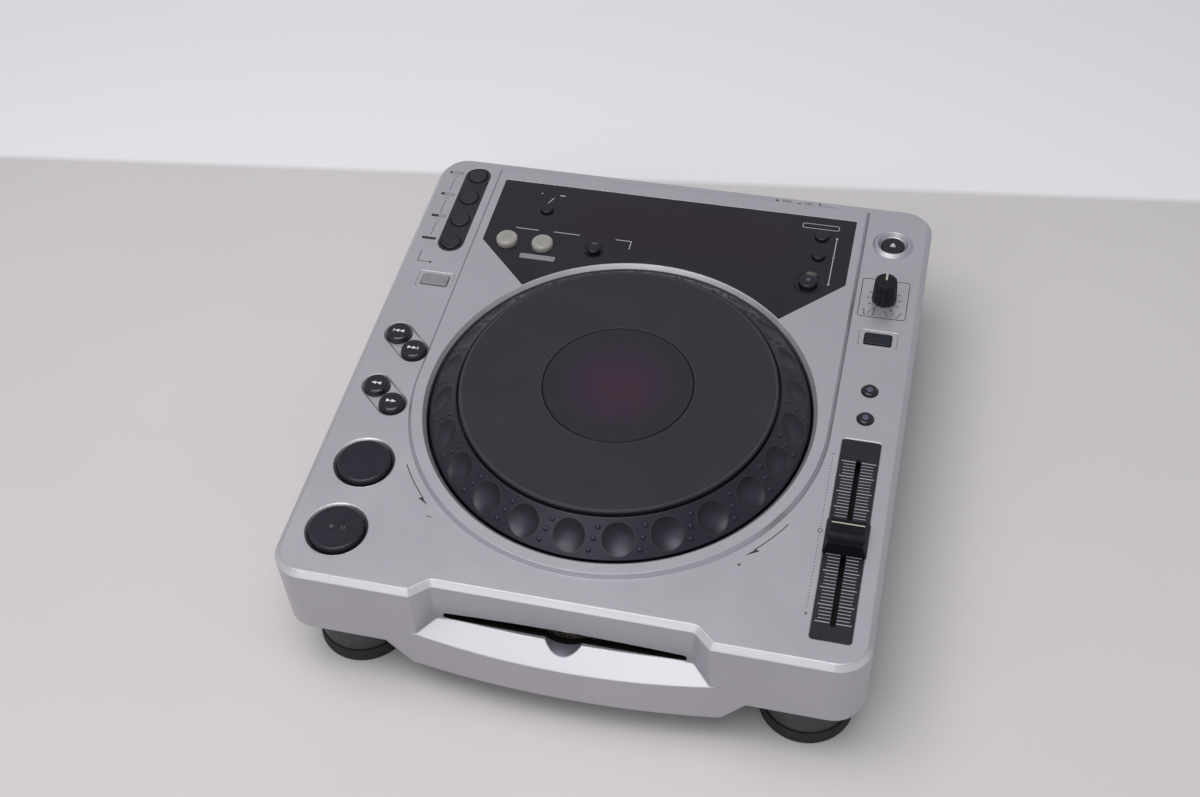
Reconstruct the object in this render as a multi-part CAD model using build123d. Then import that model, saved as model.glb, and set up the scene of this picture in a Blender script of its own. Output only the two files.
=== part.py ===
from build123d import *
from dataclasses import dataclass
from math import atan, degrees, hypot
import os

# Tabletop disc player for a DJ: a slot-loading drive under a touch-sensitive jog wheel.
#
# Millimetres. X points right, Y to the back and Z up. The origin lies on the table, under the
# middle of the player. Each function below makes one piece, and the last lines write them all.

# ---------------------------------------------------------------- driving dimensions
# Case: the jog wheel sets the width and the depth, and the strips and margins lie round it
strip_width = 47.5
front_margin = 36.2
back_margin = 19.0
case_top = 88.2
skirt_bottom = 40.5
case_wall = 3.0
roof_thickness = 2.6
corner_radius = 17.0
edge_bevel = 3.0

# Raised platform round the jog wheel and the display
platform_rise = 2.7
platform_margin = 9.6
platform_slope_run = 1.6
platform_back_margin = 11.3

# Jog wheel
well_gap = 1.7
well_bevel_run = 2.0
well_bevel_drop = 2.2
dial_radius = 103.3
dial_edge_height = 0.5
dial_slope_run = 15.6
dial_crest_height = 15.2
dial_wall = 5.0
dial_web = 2.5
dimple_count = 24
dimple_radius = 18.5
dimple_depth = 2.2
dimple_phase = -92.5
platter_gap = 1.1
platter_inset = 1.9
platter_height = 17.4
platter_thickness = 2.4
platter_rim = 2.5
platter_press = 0.5
centre_window_radius = 40.6
centre_window_thickness = 1.6
post_radius = 15.0
bearing_radius = 17.0

# Disc bay in the front
bay_side_margin = 3.5
bay_splay = 9.4
bay_depth = 8.3
bay_corner = 4.0
lip_back_height = 57.7
lip_front_height = 49.3
lip_thickness = 3.4
slot_margin = 3.3
slot_height = 5.0
slot_crown = 2.3
slot_sag = 1.1
scoop_half_width = 10.3
scoop_depth = 4.8
scoop_wall = 2.0
belly_bulge = 5.7
belly_bottom = 23.5
belly_margin = 5.8
belly_slant = 12.7

# Display window
window_margin = 6.4
window_depth = 54.4
window_jog_gap = 2.8
window_corner_rise = 3.0
window_thickness = 2.0
window_ledge = 3.0

# Base tray, feet and rear panel
tray_bottom = 28.0
tray_sheet = 1.2
tray_inset = 7.5
flange_lift = 0.8
foot_side_inset = 30.1
foot_end_inset = 32.3
foot_radius = 23.6
foot_groove_radius = 22.4
foot_groove = 0.8
pad_radius = 25.1
pad_top_radius = 24.4
pad_height = 8.7
rear_side_margin = 20.5
rear_bottom = 47.0
rear_top = 79.0
rear_sheet = 2.0
rear_lap = 3.0
socket_reach = 8.7
socket_z = 62.0
socket_shell_radius = 4.15
socket_collar_radius = 5.0
socket_bore_radius = 3.2
jack_radius = 3.0
jack_bore_radius = 1.8
inlet_width = 18.0
inlet_height = 9.6
pin_pitch = 8.6
pin_radius = 1.2
power_cap_radius = 4.5
power_rise = 2.6

# Controls
stem_radius = 2.2
flange_width = 1.0
flange_thickness = 1.2
board_drop = 14.0
board_thickness = 1.6
switch_size = 6.0
switch_height = 3.4
plunger_radius = 1.6
plunger_height = 1.2
left_inset = 24.9
right_inset = 21.2
beat_pitch = 20.05
beat_back_inset = 16.8
beat_gap = 0.6
cue_inset = 76.0
play_inset = 31.2
stadium_half_width = 7.9
inlay_thickness = 1.2
bezel_width = 21.2
bezel_depth = 12.6
bezel_sink = 0.35
transport_dish_radius = 17.0
transport_bore = 14.8
transport_dish_depth = 3.5
transport_slope_drop = 1.5
link_radius = 8.7
link_depth = 1.0
eject_ring_radius = 11.8
eject_ring_rise = 1.9
eject_crest_width = 0.8
knob_radius = 7.0
knob_top_radius = 6.25
knob_height = 15.0
knob_flutes = 12
fader_plate_width = 20.5
fader_front_inset = 15.0
fader_slot_width = 2.6
fader_slot_front = 8.2
fader_slot_back = 12.6
fader_cap_length = 20.8
fader_cap_width = 22.0
fader_cap_top_width = 17.2
fader_cap_top = 8.1
fader_cap_lift = 1.0
fader_saddle_depth = 2.4
fader_can_width = 12.0
fader_can_height = 8.6
blade_thickness = 1.6
blade_length = 4.0
carrier_length = 9.0
shaft_radius = 3.0
pot_half = 5.5

# Drive
disc_radius = 60.0
disc_inset = 135.7
drive_margin = 7.5
drive_sheet = 1.5
drive_headroom = 5.0
drive_front_inset = 14.2
drive_length = 192.5
drive_floor = 40.0
roller_inset = 22.7
roller_radius = 4.4
roller_shaft_radius = 1.5
pivot_reach = 77.0
pivot_drop = 10.0
pivot_radius = 1.6
deck_half_width = 46.0
deck_tail = 27.0
deck_nose = 8.0
hub_radius = 7.3
turntable_radius = 14.0
motor_shaft_radius = 1.2
rod_spacing = 34.0
rod_radius = 1.5
screw_x = 27.0
screw_radius = 1.6

# Boards, pillars and screws
boss_radius = 2.6
screw_boss_radius = 3.2
case_screw_radius = 1.2
screw_head_radius = 2.1
screw_head_height = 1.8
screw_length = 8.0

# Clearances
running_gap = 0.3
button_gap = 0.35
shaft_fit = 0.06
seat_gap = 0.3

# ---------------------------------------------------------------- sizes that follow
jog_well_radius = dial_radius + well_gap
dial_crest_radius = dial_radius - dial_slope_run
platter_radius = dial_crest_radius - platter_inset
platform_half_width = jog_well_radius + platform_margin
window_half_width = platform_half_width - window_margin
window_gap_radius = jog_well_radius + window_jog_gap
window_offset = window_gap_radius + window_corner_rise
front_reach = jog_well_radius + front_margin
case_width = 2 * (jog_well_radius + strip_width)
case_depth = front_reach + window_offset + window_depth + back_margin
half_width = case_width / 2

# Places from front to back
front_y = -case_depth / 2
back_y = case_depth / 2
bay_y = front_y + bay_depth
jog_y = front_y + front_reach
window_corner = jog_y + window_offset
window_back = window_corner + window_depth
platform_back = window_back + platform_back_margin
panel_face = back_y - case_wall
disc_y = front_y + disc_inset
roller_y = front_y + roller_inset
drive_front = front_y + drive_front_inset
drive_back = drive_front + drive_length
pivot_y = disc_y - pivot_reach
deck_front = pivot_y - deck_nose
deck_back = disc_y + deck_tail
foot_y = case_depth / 2 - foot_end_inset

# Places from side to side
left_x = left_inset - half_width
right_x = half_width - right_inset
foot_x = half_width - foot_side_inset
rear_half_width = half_width - rear_side_margin
slot_width = 2 * (disc_radius + slot_margin)
bay_inner_half_width = slot_width / 2 + bay_side_margin
bay_half_width = bay_inner_half_width + bay_splay
belly_half_width = bay_half_width + belly_margin
belly_shoulder = belly_half_width + belly_slant
drive_half_width = disc_radius + drive_margin
tray_half_width = half_width - tray_inset
tray_half_depth = case_depth / 2 - tray_inset

# Heights
platform_top = case_top + platform_rise
roof_under = case_top - roof_thickness
inlay_under = case_top - inlay_thickness
dish_under = case_top - transport_dish_depth - 0.9
window_top = platform_top - 0.2
window_under = window_top - window_thickness
board_top = case_top - board_drop
plunger_top = board_top + switch_height + plunger_height
platter_top = case_top + platter_height
platter_under = platter_top - platter_thickness
crest_z = case_top + dial_crest_height
web_top = platter_under - 4.0
web_under = web_top - dial_web
dial_foot = case_top - 3.3
well_floor = dial_foot - 5.9
slot_bottom = lip_back_height + 0.3
slot_top = slot_bottom + slot_height
drive_top = slot_top + drive_headroom
flange_under = skirt_bottom + flange_lift
LOW = (Align.CENTER, Align.CENTER, Align.MIN)

# The fader and the knob
fader_x = right_x + 0.2
fader_plate_front = front_y + fader_front_inset
fader_plate_back = jog_y + 0.2
fader_plate_length = fader_plate_back - fader_plate_front
fader_y = (fader_plate_front + fader_plate_back) / 2
fader_slot_length = fader_plate_length - fader_slot_front - fader_slot_back
fader_slot_y = fader_y + (fader_slot_front - fader_slot_back) / 2
knob_x = right_x - 0.3
knob_y = jog_y + 106.3


# ---------------------------------------------------------------- shared shapes
def disc(radius, bottom, top, x=0.0, y=0.0):
    """Upright cylinder between two heights."""
    return Pos(x, y, bottom) * Cylinder(radius, top - bottom, align=LOW)


def block(left, right, front, back, bottom, top):
    """Box between six faces."""
    middle = Pos((left + right) / 2, (front + back) / 2, bottom)
    return middle * Box(right - left, back - front, top - bottom, align=LOW)


def slab(outline, bottom, top):
    """Flat outline raised between two heights."""
    return extrude(Pos(0, 0, bottom) * outline, amount=top - bottom, dir=(0, 0, 1))


def turned(points, x=0.0, y=0.0):
    """Radius and height points turned about an upright axis."""
    return Pos(x, y, 0) * revolve(Plane.XZ * Polygon(*points, align=None), Axis.Z)


def cross_rod(radius, half_length, y, z):
    """Round rod that runs from side to side."""
    return Pos(0, y, z) * Rot(0, 90, 0) * Cylinder(radius, 2 * half_length)


def long_rod(radius, front, back, x, z):
    """Round rod that runs from front to back."""
    return Pos(x, (front + back) / 2, z) * Rot(90, 0, 0) * Cylinder(radius, back - front)


def rounded(width, depth, radius):
    """Rounded rectangle round the middle."""
    return RectangleRounded(width, depth, radius)


# ---------------------------------------------------------------- what can be pressed
@dataclass
class Button:
    """Push button: where it stands, its cap, the panel it comes through and its stroke."""

    name: str
    x: float
    y: float
    radius: float
    rise: float
    stroke: float
    panel: float = case_top
    under: float = roof_under
    edge: float = 0.6
    dish: float = 0.0


BEAT_NAMES = ("beat_button_1", "beat_button_2", "beat_button_3", "beat_button_4")
beat_back_y = back_y - beat_back_inset
beat_buttons = [
    Button(name, left_x, beat_back_y - beat_pitch * place, 5.6, 0.8, 0.8, under=inlay_under)
    for place, name in enumerate(BEAT_NAMES)
]
pair_buttons = [
    Button("track_back_button", left_x - 7.6, jog_y + 29.0, 7.2, 2.5, 0.8, edge=2.2),
    Button("track_next_button", left_x + 4.8, jog_y + 17.7, 7.2, 2.5, 0.8, edge=2.2),
    Button("search_back_button", left_x - 7.6, jog_y - 11.5, 7.2, 2.5, 0.8, edge=2.2),
    Button("search_next_button", left_x + 4.8, jog_y - 22.7, 7.2, 2.5, 0.8, edge=2.2),
]
transport_x = left_x + 3.1
cue_y = front_y + cue_inset
play_y = front_y + play_inset
transport_buttons = [
    Button("cue_button", transport_x, cue_y, 14.4, 1.9, 1.5, under=dish_under, edge=1.5),
    Button("play_button", transport_x, play_y, 14.4, 1.9, 1.5, under=dish_under, edge=1.5),
]
eject_button = Button(
    "eject_button", right_x - 0.2, back_y - 32.4, 6.6, -0.2, 0.8, under=inlay_under, edge=0.4)
tempo_buttons = [
    Button("tempo_range_button", right_x, jog_y + 35.5, 4.4, 1.6, 0.8, edge=1.6),
    Button("master_tempo_button", right_x, jog_y + 15.4, 4.4, 1.6, 0.8, edge=1.6),
]


def window_button(name, x, y, radius, rise, edge, dish=0.0):
    """Button that comes through the display window."""
    return Button(name, x, y, radius, rise, 0.8, window_top, window_under, edge, dish)


from_left = -window_half_width
from_right = window_half_width
window_buttons = [
    window_button("loop_in_button", from_left + 14.7, window_corner + 1.5, 6.5, 3.6, 2.2),
    window_button("loop_out_button", from_left + 36.5, window_corner + 1.5, 6.5, 3.6, 2.2),
    window_button("reloop_button", from_left + 67.7, window_corner + 2.6, 3.7, 2.1, 1.0, 6.4),
    window_button("time_mode_button", from_left + 31.8, window_back - 23.0, 3.7, 2.0, 1.0),
    window_button("memory_button", from_right - 18.4, window_back - 17.0, 3.8, 2.0, 1.0),
    window_button("call_button", from_right - 18.3, window_back - 33.3, 3.8, 2.0, 1.0),
    window_button("quick_return_button", from_right - 21.2, window_corner - 1.3, 5.3, 2.0, 1.4, 9.0),
]


@dataclass
class Key:
    """Rectangular push button in a raised frame."""

    name: str
    x: float
    y: float
    width: float
    depth: float
    rise: float
    stroke: float


keys = [
    Key("reverse_button", left_x - 0.1, jog_y + 74.6, 15.9, 8.4, 0.6, 0.8),
    Key("jog_mode_button", right_x - 0.1, jog_y + 74.6, 14.9, 8.4, 0.6, 0.8),
]
strip_buttons = pair_buttons + tempo_buttons
round_buttons = beat_buttons + pair_buttons + transport_buttons + tempo_buttons
round_buttons += window_buttons + [eject_button]


def round_button(b):
    """Cap with a rounded top edge, a retaining flange and the stem that meets its switch."""
    top = b.panel + b.rise
    flange_top = b.under - seat_gap
    flange_foot = flange_top - flange_thickness
    foot = plunger_top + seat_gap + b.stroke
    wide = b.radius + flange_width
    cap = turned([
        (0, foot), (stem_radius, foot), (stem_radius, flange_foot), (wide, flange_foot),
        (wide, flange_top), (b.radius, flange_top), (b.radius, top), (0, top),
    ], b.x, b.y)
    rim = cap.edges().filter_by(GeomType.CIRCLE).sort_by(Axis.Z)[-1]
    return fillet(rim, b.edge)


def key_button(k):
    """Rectangular cap with softened edges over a flange and a stem."""
    top = case_top + k.rise
    flange_top = inlay_under - seat_gap
    flange_foot = flange_top - flange_thickness
    foot = plunger_top + seat_gap + k.stroke
    cap = Pos(k.x, k.y) * slab(rounded(k.width, k.depth, 1.0), flange_foot, top)
    cap = fillet(cap.faces().sort_by(Axis.Z)[-1].edges(), 0.5)
    wide = Pos(k.x, k.y) * slab(
        Rectangle(k.width + 2 * flange_width, k.depth + 2 * flange_width), flange_foot, flange_top)
    return cap + wide + disc(stem_radius, foot, flange_foot, k.x, k.y)


# ---------------------------------------------------------------- case
def bay_outline():
    """Plan of the recess in the front: straight back, splayed sides, open to the front."""
    side = (bay_half_width - bay_inner_half_width) / bay_depth
    ahead = 12.0
    outer = bay_half_width + side * ahead
    plan = Polygon(
        (-outer, front_y - ahead), (-bay_inner_half_width, bay_y), (bay_inner_half_width, bay_y),
        (outer, front_y - ahead), align=None)
    return fillet(plan.vertices().sort_by(Axis.Y)[-2:], bay_corner)


def bulge_outline(inset=0.0, half=belly_half_width):
    """Plan of the belly: a shallow arc ahead of the front wall, closed behind the bay."""
    back = bay_y + case_wall + 1.0
    arc = ThreePointArc(
        (-half, front_y + inset), (0, front_y - belly_bulge + inset),
        (half, front_y + inset))
    sides = Polyline(
        (half, front_y + inset), (half, back), (-half, back),
        (-half, front_y + inset))
    return make_face(arc + sides)


def lip_block():
    """Everything under the lip, which slopes from the bay's back wall to the curved front."""
    back = bay_y + case_wall + 1.0
    ahead = 2.0
    fall = (lip_back_height - lip_front_height) / (bay_depth + belly_bulge)
    tip_y = front_y - belly_bulge - ahead
    profile = Polygon(
        (back, belly_bottom), (tip_y, belly_bottom), (tip_y, lip_front_height - fall * ahead),
        (bay_y, lip_back_height), (back, lip_back_height), align=None)
    wedge = extrude(Plane.YZ * profile, amount=case_width / 2, both=True)
    return slab(bulge_outline(), belly_bottom, lip_back_height) & wedge


def belly_front(inset=0.0):
    """Front view of the belly: a flat foot with sides that slant up to the skirt."""
    slant = inset * 0.7
    outline = Polygon(
        (-belly_shoulder + inset, lip_back_height + 5), (-belly_shoulder + inset, skirt_bottom),
        (-belly_half_width + slant, belly_bottom + inset),
        (belly_half_width - slant, belly_bottom + inset),
        (belly_shoulder - inset, skirt_bottom), (belly_shoulder - inset, lip_back_height + 5),
        align=None)
    return extrude(Plane.XZ * outline, amount=case_depth, both=True)


def shell_outside():
    """Outer form of the case: walls with a bevelled edge, the bay, the belly and the lip."""
    plan = rounded(case_width, case_depth, corner_radius) - bay_outline()
    body = slab(plan, skirt_bottom, case_top)
    body = chamfer(body.faces().sort_by(Axis.Z)[-1].outer_wire().edges(), edge_bevel)
    belly_back = -(tray_half_depth + running_gap)
    wings = block(-belly_shoulder, belly_shoulder, front_y, belly_back, belly_bottom, skirt_bottom)
    belly = (wings + lip_block()) & belly_front()
    behind = block(-case_width, case_width, belly_back, 0, 0, skirt_bottom)
    return body + (belly - behind)


def shell_inside():
    """Space inside the case walls, above the tray and inside the belly."""
    inner = rounded(case_width - 2 * case_wall, case_depth - 2 * case_wall,
                    corner_radius - case_wall)
    room = slab(inner - offset(bay_outline(), case_wall), skirt_bottom - 1, roof_under)
    under_lip = Pos(0, 2.0, -lip_thickness) * lip_block()
    front_wall = slab(bulge_outline(case_wall, belly_half_width - 1), 0, case_top)
    return room + (under_lip & belly_front(case_wall) & front_wall)


def platform():
    """Low raised step whose sides meet a round front concentric with the jog wheel."""
    length = platform_back - jog_y
    outline = Pos(0, jog_y + length / 2) * Rectangle(2 * platform_half_width, length)
    outline += Pos(0, jog_y) * Circle(platform_half_width)
    taper = degrees(atan(platform_slope_run / platform_rise))
    return extrude(Pos(0, 0, case_top) * outline, amount=platform_rise, taper=taper)


def jog_well():
    """Round opening for the jog wheel with its bevelled upper edge."""
    top = platform_top + 0.01
    wide = jog_well_radius + well_bevel_run
    return turned([
        (0, roof_under - 1), (jog_well_radius, roof_under - 1),
        (jog_well_radius, platform_top - well_bevel_drop), (wide, top), (0, top),
    ], 0, jog_y)


def window_outline():
    """Display window: square back corners, slanted front corners, arc round the jog wheel."""
    reach = 60.0
    outline = Polygon(
        (-window_half_width, window_back), (window_half_width, window_back),
        (window_half_width, window_corner), (window_half_width - reach, window_corner - reach),
        (reach - window_half_width, window_corner - reach), (-window_half_width, window_corner),
        align=None)
    return outline - Pos(0, jog_y) * Circle(window_gap_radius)


def window_opening():
    """Pocket for the display window with a ledge under its rim."""
    pocket = slab(offset(window_outline(), seat_gap / 3), window_under, platform_top + 1)
    inner = offset(window_outline(), -window_ledge, kind=Kind.INTERSECTION)
    return pocket + slab(inner, roof_under - 1, platform_top + 1)


def stadium(half):
    """Long rounded outline round the four beat buttons."""
    length = beat_pitch * (len(beat_buttons) - 1)
    middle = beat_back_y - length / 2
    return Pos(left_x, middle) * Rot(0, 0, 90) * SlotCenterToCenter(length, 2 * half)


def link_outline(first, second, radius):
    """Rounded outline round two neighbouring buttons."""
    length = hypot(second.x - first.x, second.y - first.y)
    turn = degrees(atan((second.y - first.y) / (second.x - first.x)))
    middle = Pos((first.x + second.x) / 2, (first.y + second.y) / 2)
    return middle * Rot(0, 0, turn) * SlotCenterToCenter(length, 2 * radius)


def link_recess(first, second):
    """Shallow recess with sloping edges that ties two buttons together."""
    outline = link_outline(first, second, link_radius)
    return extrude(Pos(0, 0, case_top) * outline, amount=-link_depth, taper=45)


def button_bores():
    """Every hole in the case roof that a button, bezel or inlay passes through."""
    low = roof_under - 1
    high = case_top + 1
    cuts = [disc(b.radius + button_gap, low, high, b.x, b.y) for b in strip_buttons]
    for b in transport_buttons:
        cuts.append(disc(transport_dish_radius - 1, low, high, b.x, b.y))
        cuts.append(disc(transport_dish_radius, case_top - 1, high, b.x, b.y))
    for k in keys:
        seat = rounded(bezel_width, bezel_depth, 2.0)
        bore = Rectangle(k.width + 2 * flange_width + 0.6, k.depth + 2 * flange_width + 0.6)
        cuts.append(Pos(k.x, k.y) * slab(seat, inlay_under, high))
        edge = Pos(k.x, k.y, case_top - bezel_sink) * seat
        cuts.append(extrude(edge, amount=2 * bezel_sink, taper=-45))
        cuts.append(Pos(k.x, k.y) * slab(bore, low, high))
    cuts.append(slab(stadium(stadium_half_width), inlay_under, high))
    cuts.append(slab(stadium(stadium_half_width - 0.9), low, high))
    ring_seat = eject_ring_radius - 1
    e = eject_button
    cuts.append(disc(ring_seat, inlay_under, high, e.x, e.y))
    cuts.append(disc(e.radius + flange_width + button_gap, low, high, e.x, e.y))
    cuts.append(link_recess(pair_buttons[0], pair_buttons[1]))
    cuts.append(link_recess(pair_buttons[2], pair_buttons[3]))
    return cuts


def slot_outline(width, length):
    """Straight slot that runs from front to back on the fader's line."""
    return Pos(fader_x, fader_slot_y) * Rot(0, 0, 90) * SlotOverall(length, width)


def fader_bores():
    """Pocket and slot for the tempo fader."""
    seat = Pos(fader_x, fader_y) * rounded(fader_plate_width, fader_plate_length, 1.8)
    floor = case_top - 1.6
    pocket = slab(seat, floor, case_top + 1)
    bevel = extrude(Pos(0, 0, case_top - 0.5) * seat, amount=1.0, taper=-45)
    slot = slab(slot_outline(fader_slot_width + 0.4, fader_slot_length), roof_under - 1, case_top)
    return [pocket, bevel, slot]


def slot_bore():
    """Disc slot through the bay's back wall, with edges that bow apart in the middle."""
    half = slot_width / 2
    upper = ThreePointArc((half, slot_top), (0, slot_top + slot_crown), (-half, slot_top))
    lower = ThreePointArc((-half, slot_bottom), (0, slot_bottom - slot_sag), (half, slot_bottom))
    ends = Line((-half, slot_top), (-half, slot_bottom)) + Line((half, slot_bottom), (half, slot_top))
    outline = make_face(upper + lower + ends)
    outline = fillet(outline.vertices(), slot_height * 0.4)
    return Pos(0, bay_y) * extrude(Plane.XZ * outline, amount=case_wall + 2, both=True)


def scoop(margin=0.0):
    """Level trough for a finger that runs through the lip and the lower edge of the slot."""
    radius = (scoop_half_width ** 2 + scoop_depth ** 2) / (2 * scoop_depth)
    ahead = front_y - belly_bulge - 1
    behind = bay_y + case_wall + 2
    trough = long_rod(radius + margin, ahead, behind, 0, slot_bottom - scoop_depth + radius)
    return trough & block(-case_width, case_width, ahead, behind, 0, slot_bottom + 1)


def rear_opening():
    """Opening in the back wall for the socket panel."""
    middle = Pos(0, back_y, (rear_bottom + rear_top) / 2)
    outline = Plane.XZ * RectangleRounded(2 * rear_half_width, rear_top - rear_bottom, 3.0)
    return middle * extrude(outline, amount=case_wall + 1, both=True)


display_board_half = window_half_width + 5.8
screw_line_x = half_width - case_wall - 2.25
screw_line_y = case_depth / 2 - case_wall - 2.25
screw_rows = (front_y + 67.7, 5.0, back_y - 57.7)
CASE_SCREWS = [(side * screw_line_x, y) for side in (-1, 1) for y in screw_rows]
CASE_SCREWS += [(side * (half_width - 44.5), -screw_line_y) for side in (-1, 1)]
outer_boss_x = half_width - 7.0
inner_boss_x = display_board_half + 3.0
front_boss_y = (cue_y + play_y) / 2
LEFT_BOSSES = [(-outer_boss_x, y) for y in (jog_y + 93.5, jog_y + 3.5, front_boss_y)]
LEFT_BOSSES += [(-inner_boss_x, y) for y in (jog_y + 87.5, front_boss_y)]
RIGHT_BOSSES = [(x, y) for x in (inner_boss_x + 0.5, outer_boss_x)
                for y in (back_y - 50.7, jog_y + 53.5)]
DISPLAY_BOSSES = [(side * (window_half_width + 2.4), y) for side in (-1, 1)
                  for y in (window_back + 3.3, window_corner + 11.7)]


def case_bosses():
    """Pillars that carry the boards and take the case screws."""
    posts = LEFT_BOSSES + RIGHT_BOSSES + DISPLAY_BOSSES
    bosses = [disc(boss_radius, board_top, roof_under + 0.5, x, y) for x, y in posts]
    base = flange_under + tray_sheet
    for x, y in CASE_SCREWS:
        boss = disc(screw_boss_radius, base, base + 10, x, y)
        bosses.append(boss - disc(case_screw_radius + 0.05, base - 1, base + 8, x, y))
    return bosses


def top_case():
    """Upper housing with its platform, bay, belly and every opening for a control."""
    case = shell_outside() - shell_inside() + platform()
    case -= jog_well()
    case -= window_opening()
    case += scoop(scoop_wall) & lip_block()
    for cut in button_bores() + fader_bores() + [slot_bore(), scoop()]:
        case -= cut
    case -= disc(3.4, roof_under - 1, case_top + 1, knob_x, knob_y)
    case -= rear_opening()
    outside = slab(rounded(case_width - 1, case_depth - 1, corner_radius), 0, case_top)
    for boss in case_bosses():
        case += boss & outside
    return case


# ---------------------------------------------------------------- inlays and bezels
def display_window():
    """Smoked window over the display, bored for its buttons."""
    window = slab(offset(window_outline(), -0.1), window_under, window_top)
    for b in window_buttons:
        window -= disc(b.radius + button_gap, window_under - 1, window_top + 1, b.x, b.y)
        if b.dish:
            cup = [(0, window_top - 1.3), (b.dish - 1.6, window_top - 1.3),
                   (b.dish, window_top + 0.01), (0, window_top + 0.01)]
            window -= turned(cup, b.x, b.y)
    return window


def beat_plate():
    """Inlay round the four beat buttons."""
    plate = slab(stadium(stadium_half_width - 0.1), inlay_under, case_top)
    for b in beat_buttons:
        plate -= disc(b.radius + beat_gap, inlay_under - 1, case_top + 1, b.x, b.y)
    return plate


def transport_bezels():
    """Two dished rings round the cue and play buttons."""
    foot = dish_under
    wide = transport_dish_radius
    ring = [
        (transport_bore, foot), (wide - 1.05, foot), (wide - 1.05, case_top - 1),
        (wide - 0.05, case_top - 1), (wide - 0.05, case_top + 0.1), (wide - 0.3, case_top + 0.1),
        (transport_bore + 0.4, case_top - transport_slope_drop),
        (transport_bore, case_top - transport_dish_depth),
    ]
    return Compound(children=[turned(ring, b.x, b.y) for b in transport_buttons])


def mode_bezels():
    """Two frames round the rectangular buttons."""
    frames = []
    for k in keys:
        outer = rounded(bezel_width - 0.1, bezel_depth - 0.1, 2.0)
        bore = rounded(k.width + 2 * button_gap, k.depth + 2 * button_gap, 1.2)
        frame = slab(outer - bore, inlay_under, case_top - bezel_sink)
        frames.append(Pos(k.x, k.y) * frame)
    return Compound(children=frames)


def eject_ring():
    """Raised ring that guards the eject button."""
    bore = eject_button.radius + button_gap
    crest = case_top + eject_ring_rise
    wide = eject_ring_radius
    ring = turned([
        (bore, inlay_under), (wide - 1.1, inlay_under), (wide - 1.1, case_top),
        (wide, case_top), (wide - eject_ring_rise, crest),
        (wide - eject_ring_rise - eject_crest_width, crest), (bore + 0.4, case_top - 0.6),
        (bore, case_top - 0.8),
    ], eject_button.x, eject_button.y)
    crests = ring.edges().filter_by(GeomType.CIRCLE).group_by(Axis.Z)[-1]
    return fillet(crests, 0.4)


def fader_plate():
    """Scale plate with the slot for the fader."""
    seat = rounded(fader_plate_width - 0.1, fader_plate_length - 0.1, 1.7)
    plate = slab(Pos(fader_x, fader_y) * seat, case_top - 1.6, case_top - 0.4)
    return plate - slab(slot_outline(fader_slot_width, fader_slot_length), roof_under, case_top)


# ---------------------------------------------------------------- jog wheel
def dial_outline():
    """Half section of the dial: hub, web and a sloping ring."""
    hub = bearing_radius + shaft_fit
    slope_x = dial_radius - dial_crest_radius
    slope_z = dial_crest_height - dial_edge_height
    length = hypot(slope_x, slope_z)
    inward = (dial_wall * slope_z / length, dial_wall * slope_x / length)
    inner_foot = dial_radius - inward[0]
    rise = (web_under - dial_foot) * slope_x / slope_z
    inner_wall = platter_radius + platter_gap
    return [
        (hub, dial_foot), (hub + 4, dial_foot), (hub + 4, web_under),
        (inner_foot - rise, web_under), (inner_foot, dial_foot), (dial_radius, dial_foot),
        (dial_radius, case_top + dial_edge_height), (dial_crest_radius, crest_z),
        (inner_wall, crest_z), (inner_wall, web_top), (hub, web_top),
    ]


def on_slope(radius):
    """Height of the dial's sloping face at a radius."""
    share = (dial_radius - radius) / (dial_radius - dial_crest_radius)
    return case_top + dial_edge_height + share * (dial_crest_height - dial_edge_height)


def jog_dial():
    """Turning dial with a ring of finger dimples and raised dots."""
    dial = turned(dial_outline())
    slope_x = dial_radius - dial_crest_radius
    slope_z = dial_crest_height - dial_edge_height
    length = hypot(slope_x, slope_z)
    away = (slope_z / length, slope_x / length)
    middle = (dial_radius + dial_crest_radius) / 2
    lift = dimple_radius - dimple_depth
    centre = (middle + away[0] * lift, on_slope(middle) + away[1] * lift)
    for step in range(dimple_count):
        turn = Rot(0, 0, dimple_phase + step * 360 / dimple_count)
        dial -= turn * Pos(centre[0], 0, centre[1]) * Sphere(dimple_radius)
    return Pos(0, jog_y) * dial


def jog_platter():
    """Touch plate on top of the dial, which gives a little when pressed."""
    bore = centre_window_radius + 0.4
    foot = web_top + platter_press + seat_gap
    rim = platter_under - 1.0
    return turned([
        (bore, foot), (bore + platter_rim, foot), (bore + platter_rim, platter_under),
        (platter_radius - platter_rim, platter_under), (platter_radius - platter_rim, rim),
        (platter_radius, rim), (platter_radius, platter_top - 0.6),
        (platter_radius - 0.6, platter_top), (bore, platter_top),
    ], 0, jog_y)


def jog_window():
    """Fixed smoked cap in the middle of the platter, carried by the post."""
    under = platter_top - centre_window_thickness
    wide = centre_window_radius
    seat = web_top + seat_gap + 0.2
    return turned([
        (post_radius - 3.5, seat), (post_radius, seat), (post_radius, under),
        (wide - 3, under), (wide - 3, seat), (wide - 1.5, seat), (wide - 1.5, under),
        (wide, under), (wide, platter_top), (0, platter_top), (0, under),
        (post_radius - 3.5, under),
    ], 0, jog_y)


def jog_frame():
    """Dish under the roof that closes the well and carries the hollow post."""
    wall = jog_well_radius - 0.4
    seat = web_top + seat_gap + 0.2
    bore = post_radius - 3.5
    floor = well_floor - 2.4
    return turned([
        (bore, floor), (wall + 2.4, floor), (wall + 2.4, roof_under - 2.4),
        (wall + 5.4, roof_under - 2.4), (wall + 5.4, roof_under), (wall, roof_under),
        (wall, well_floor), (post_radius, well_floor), (post_radius, seat), (bore, seat),
    ], 0, jog_y)


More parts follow.
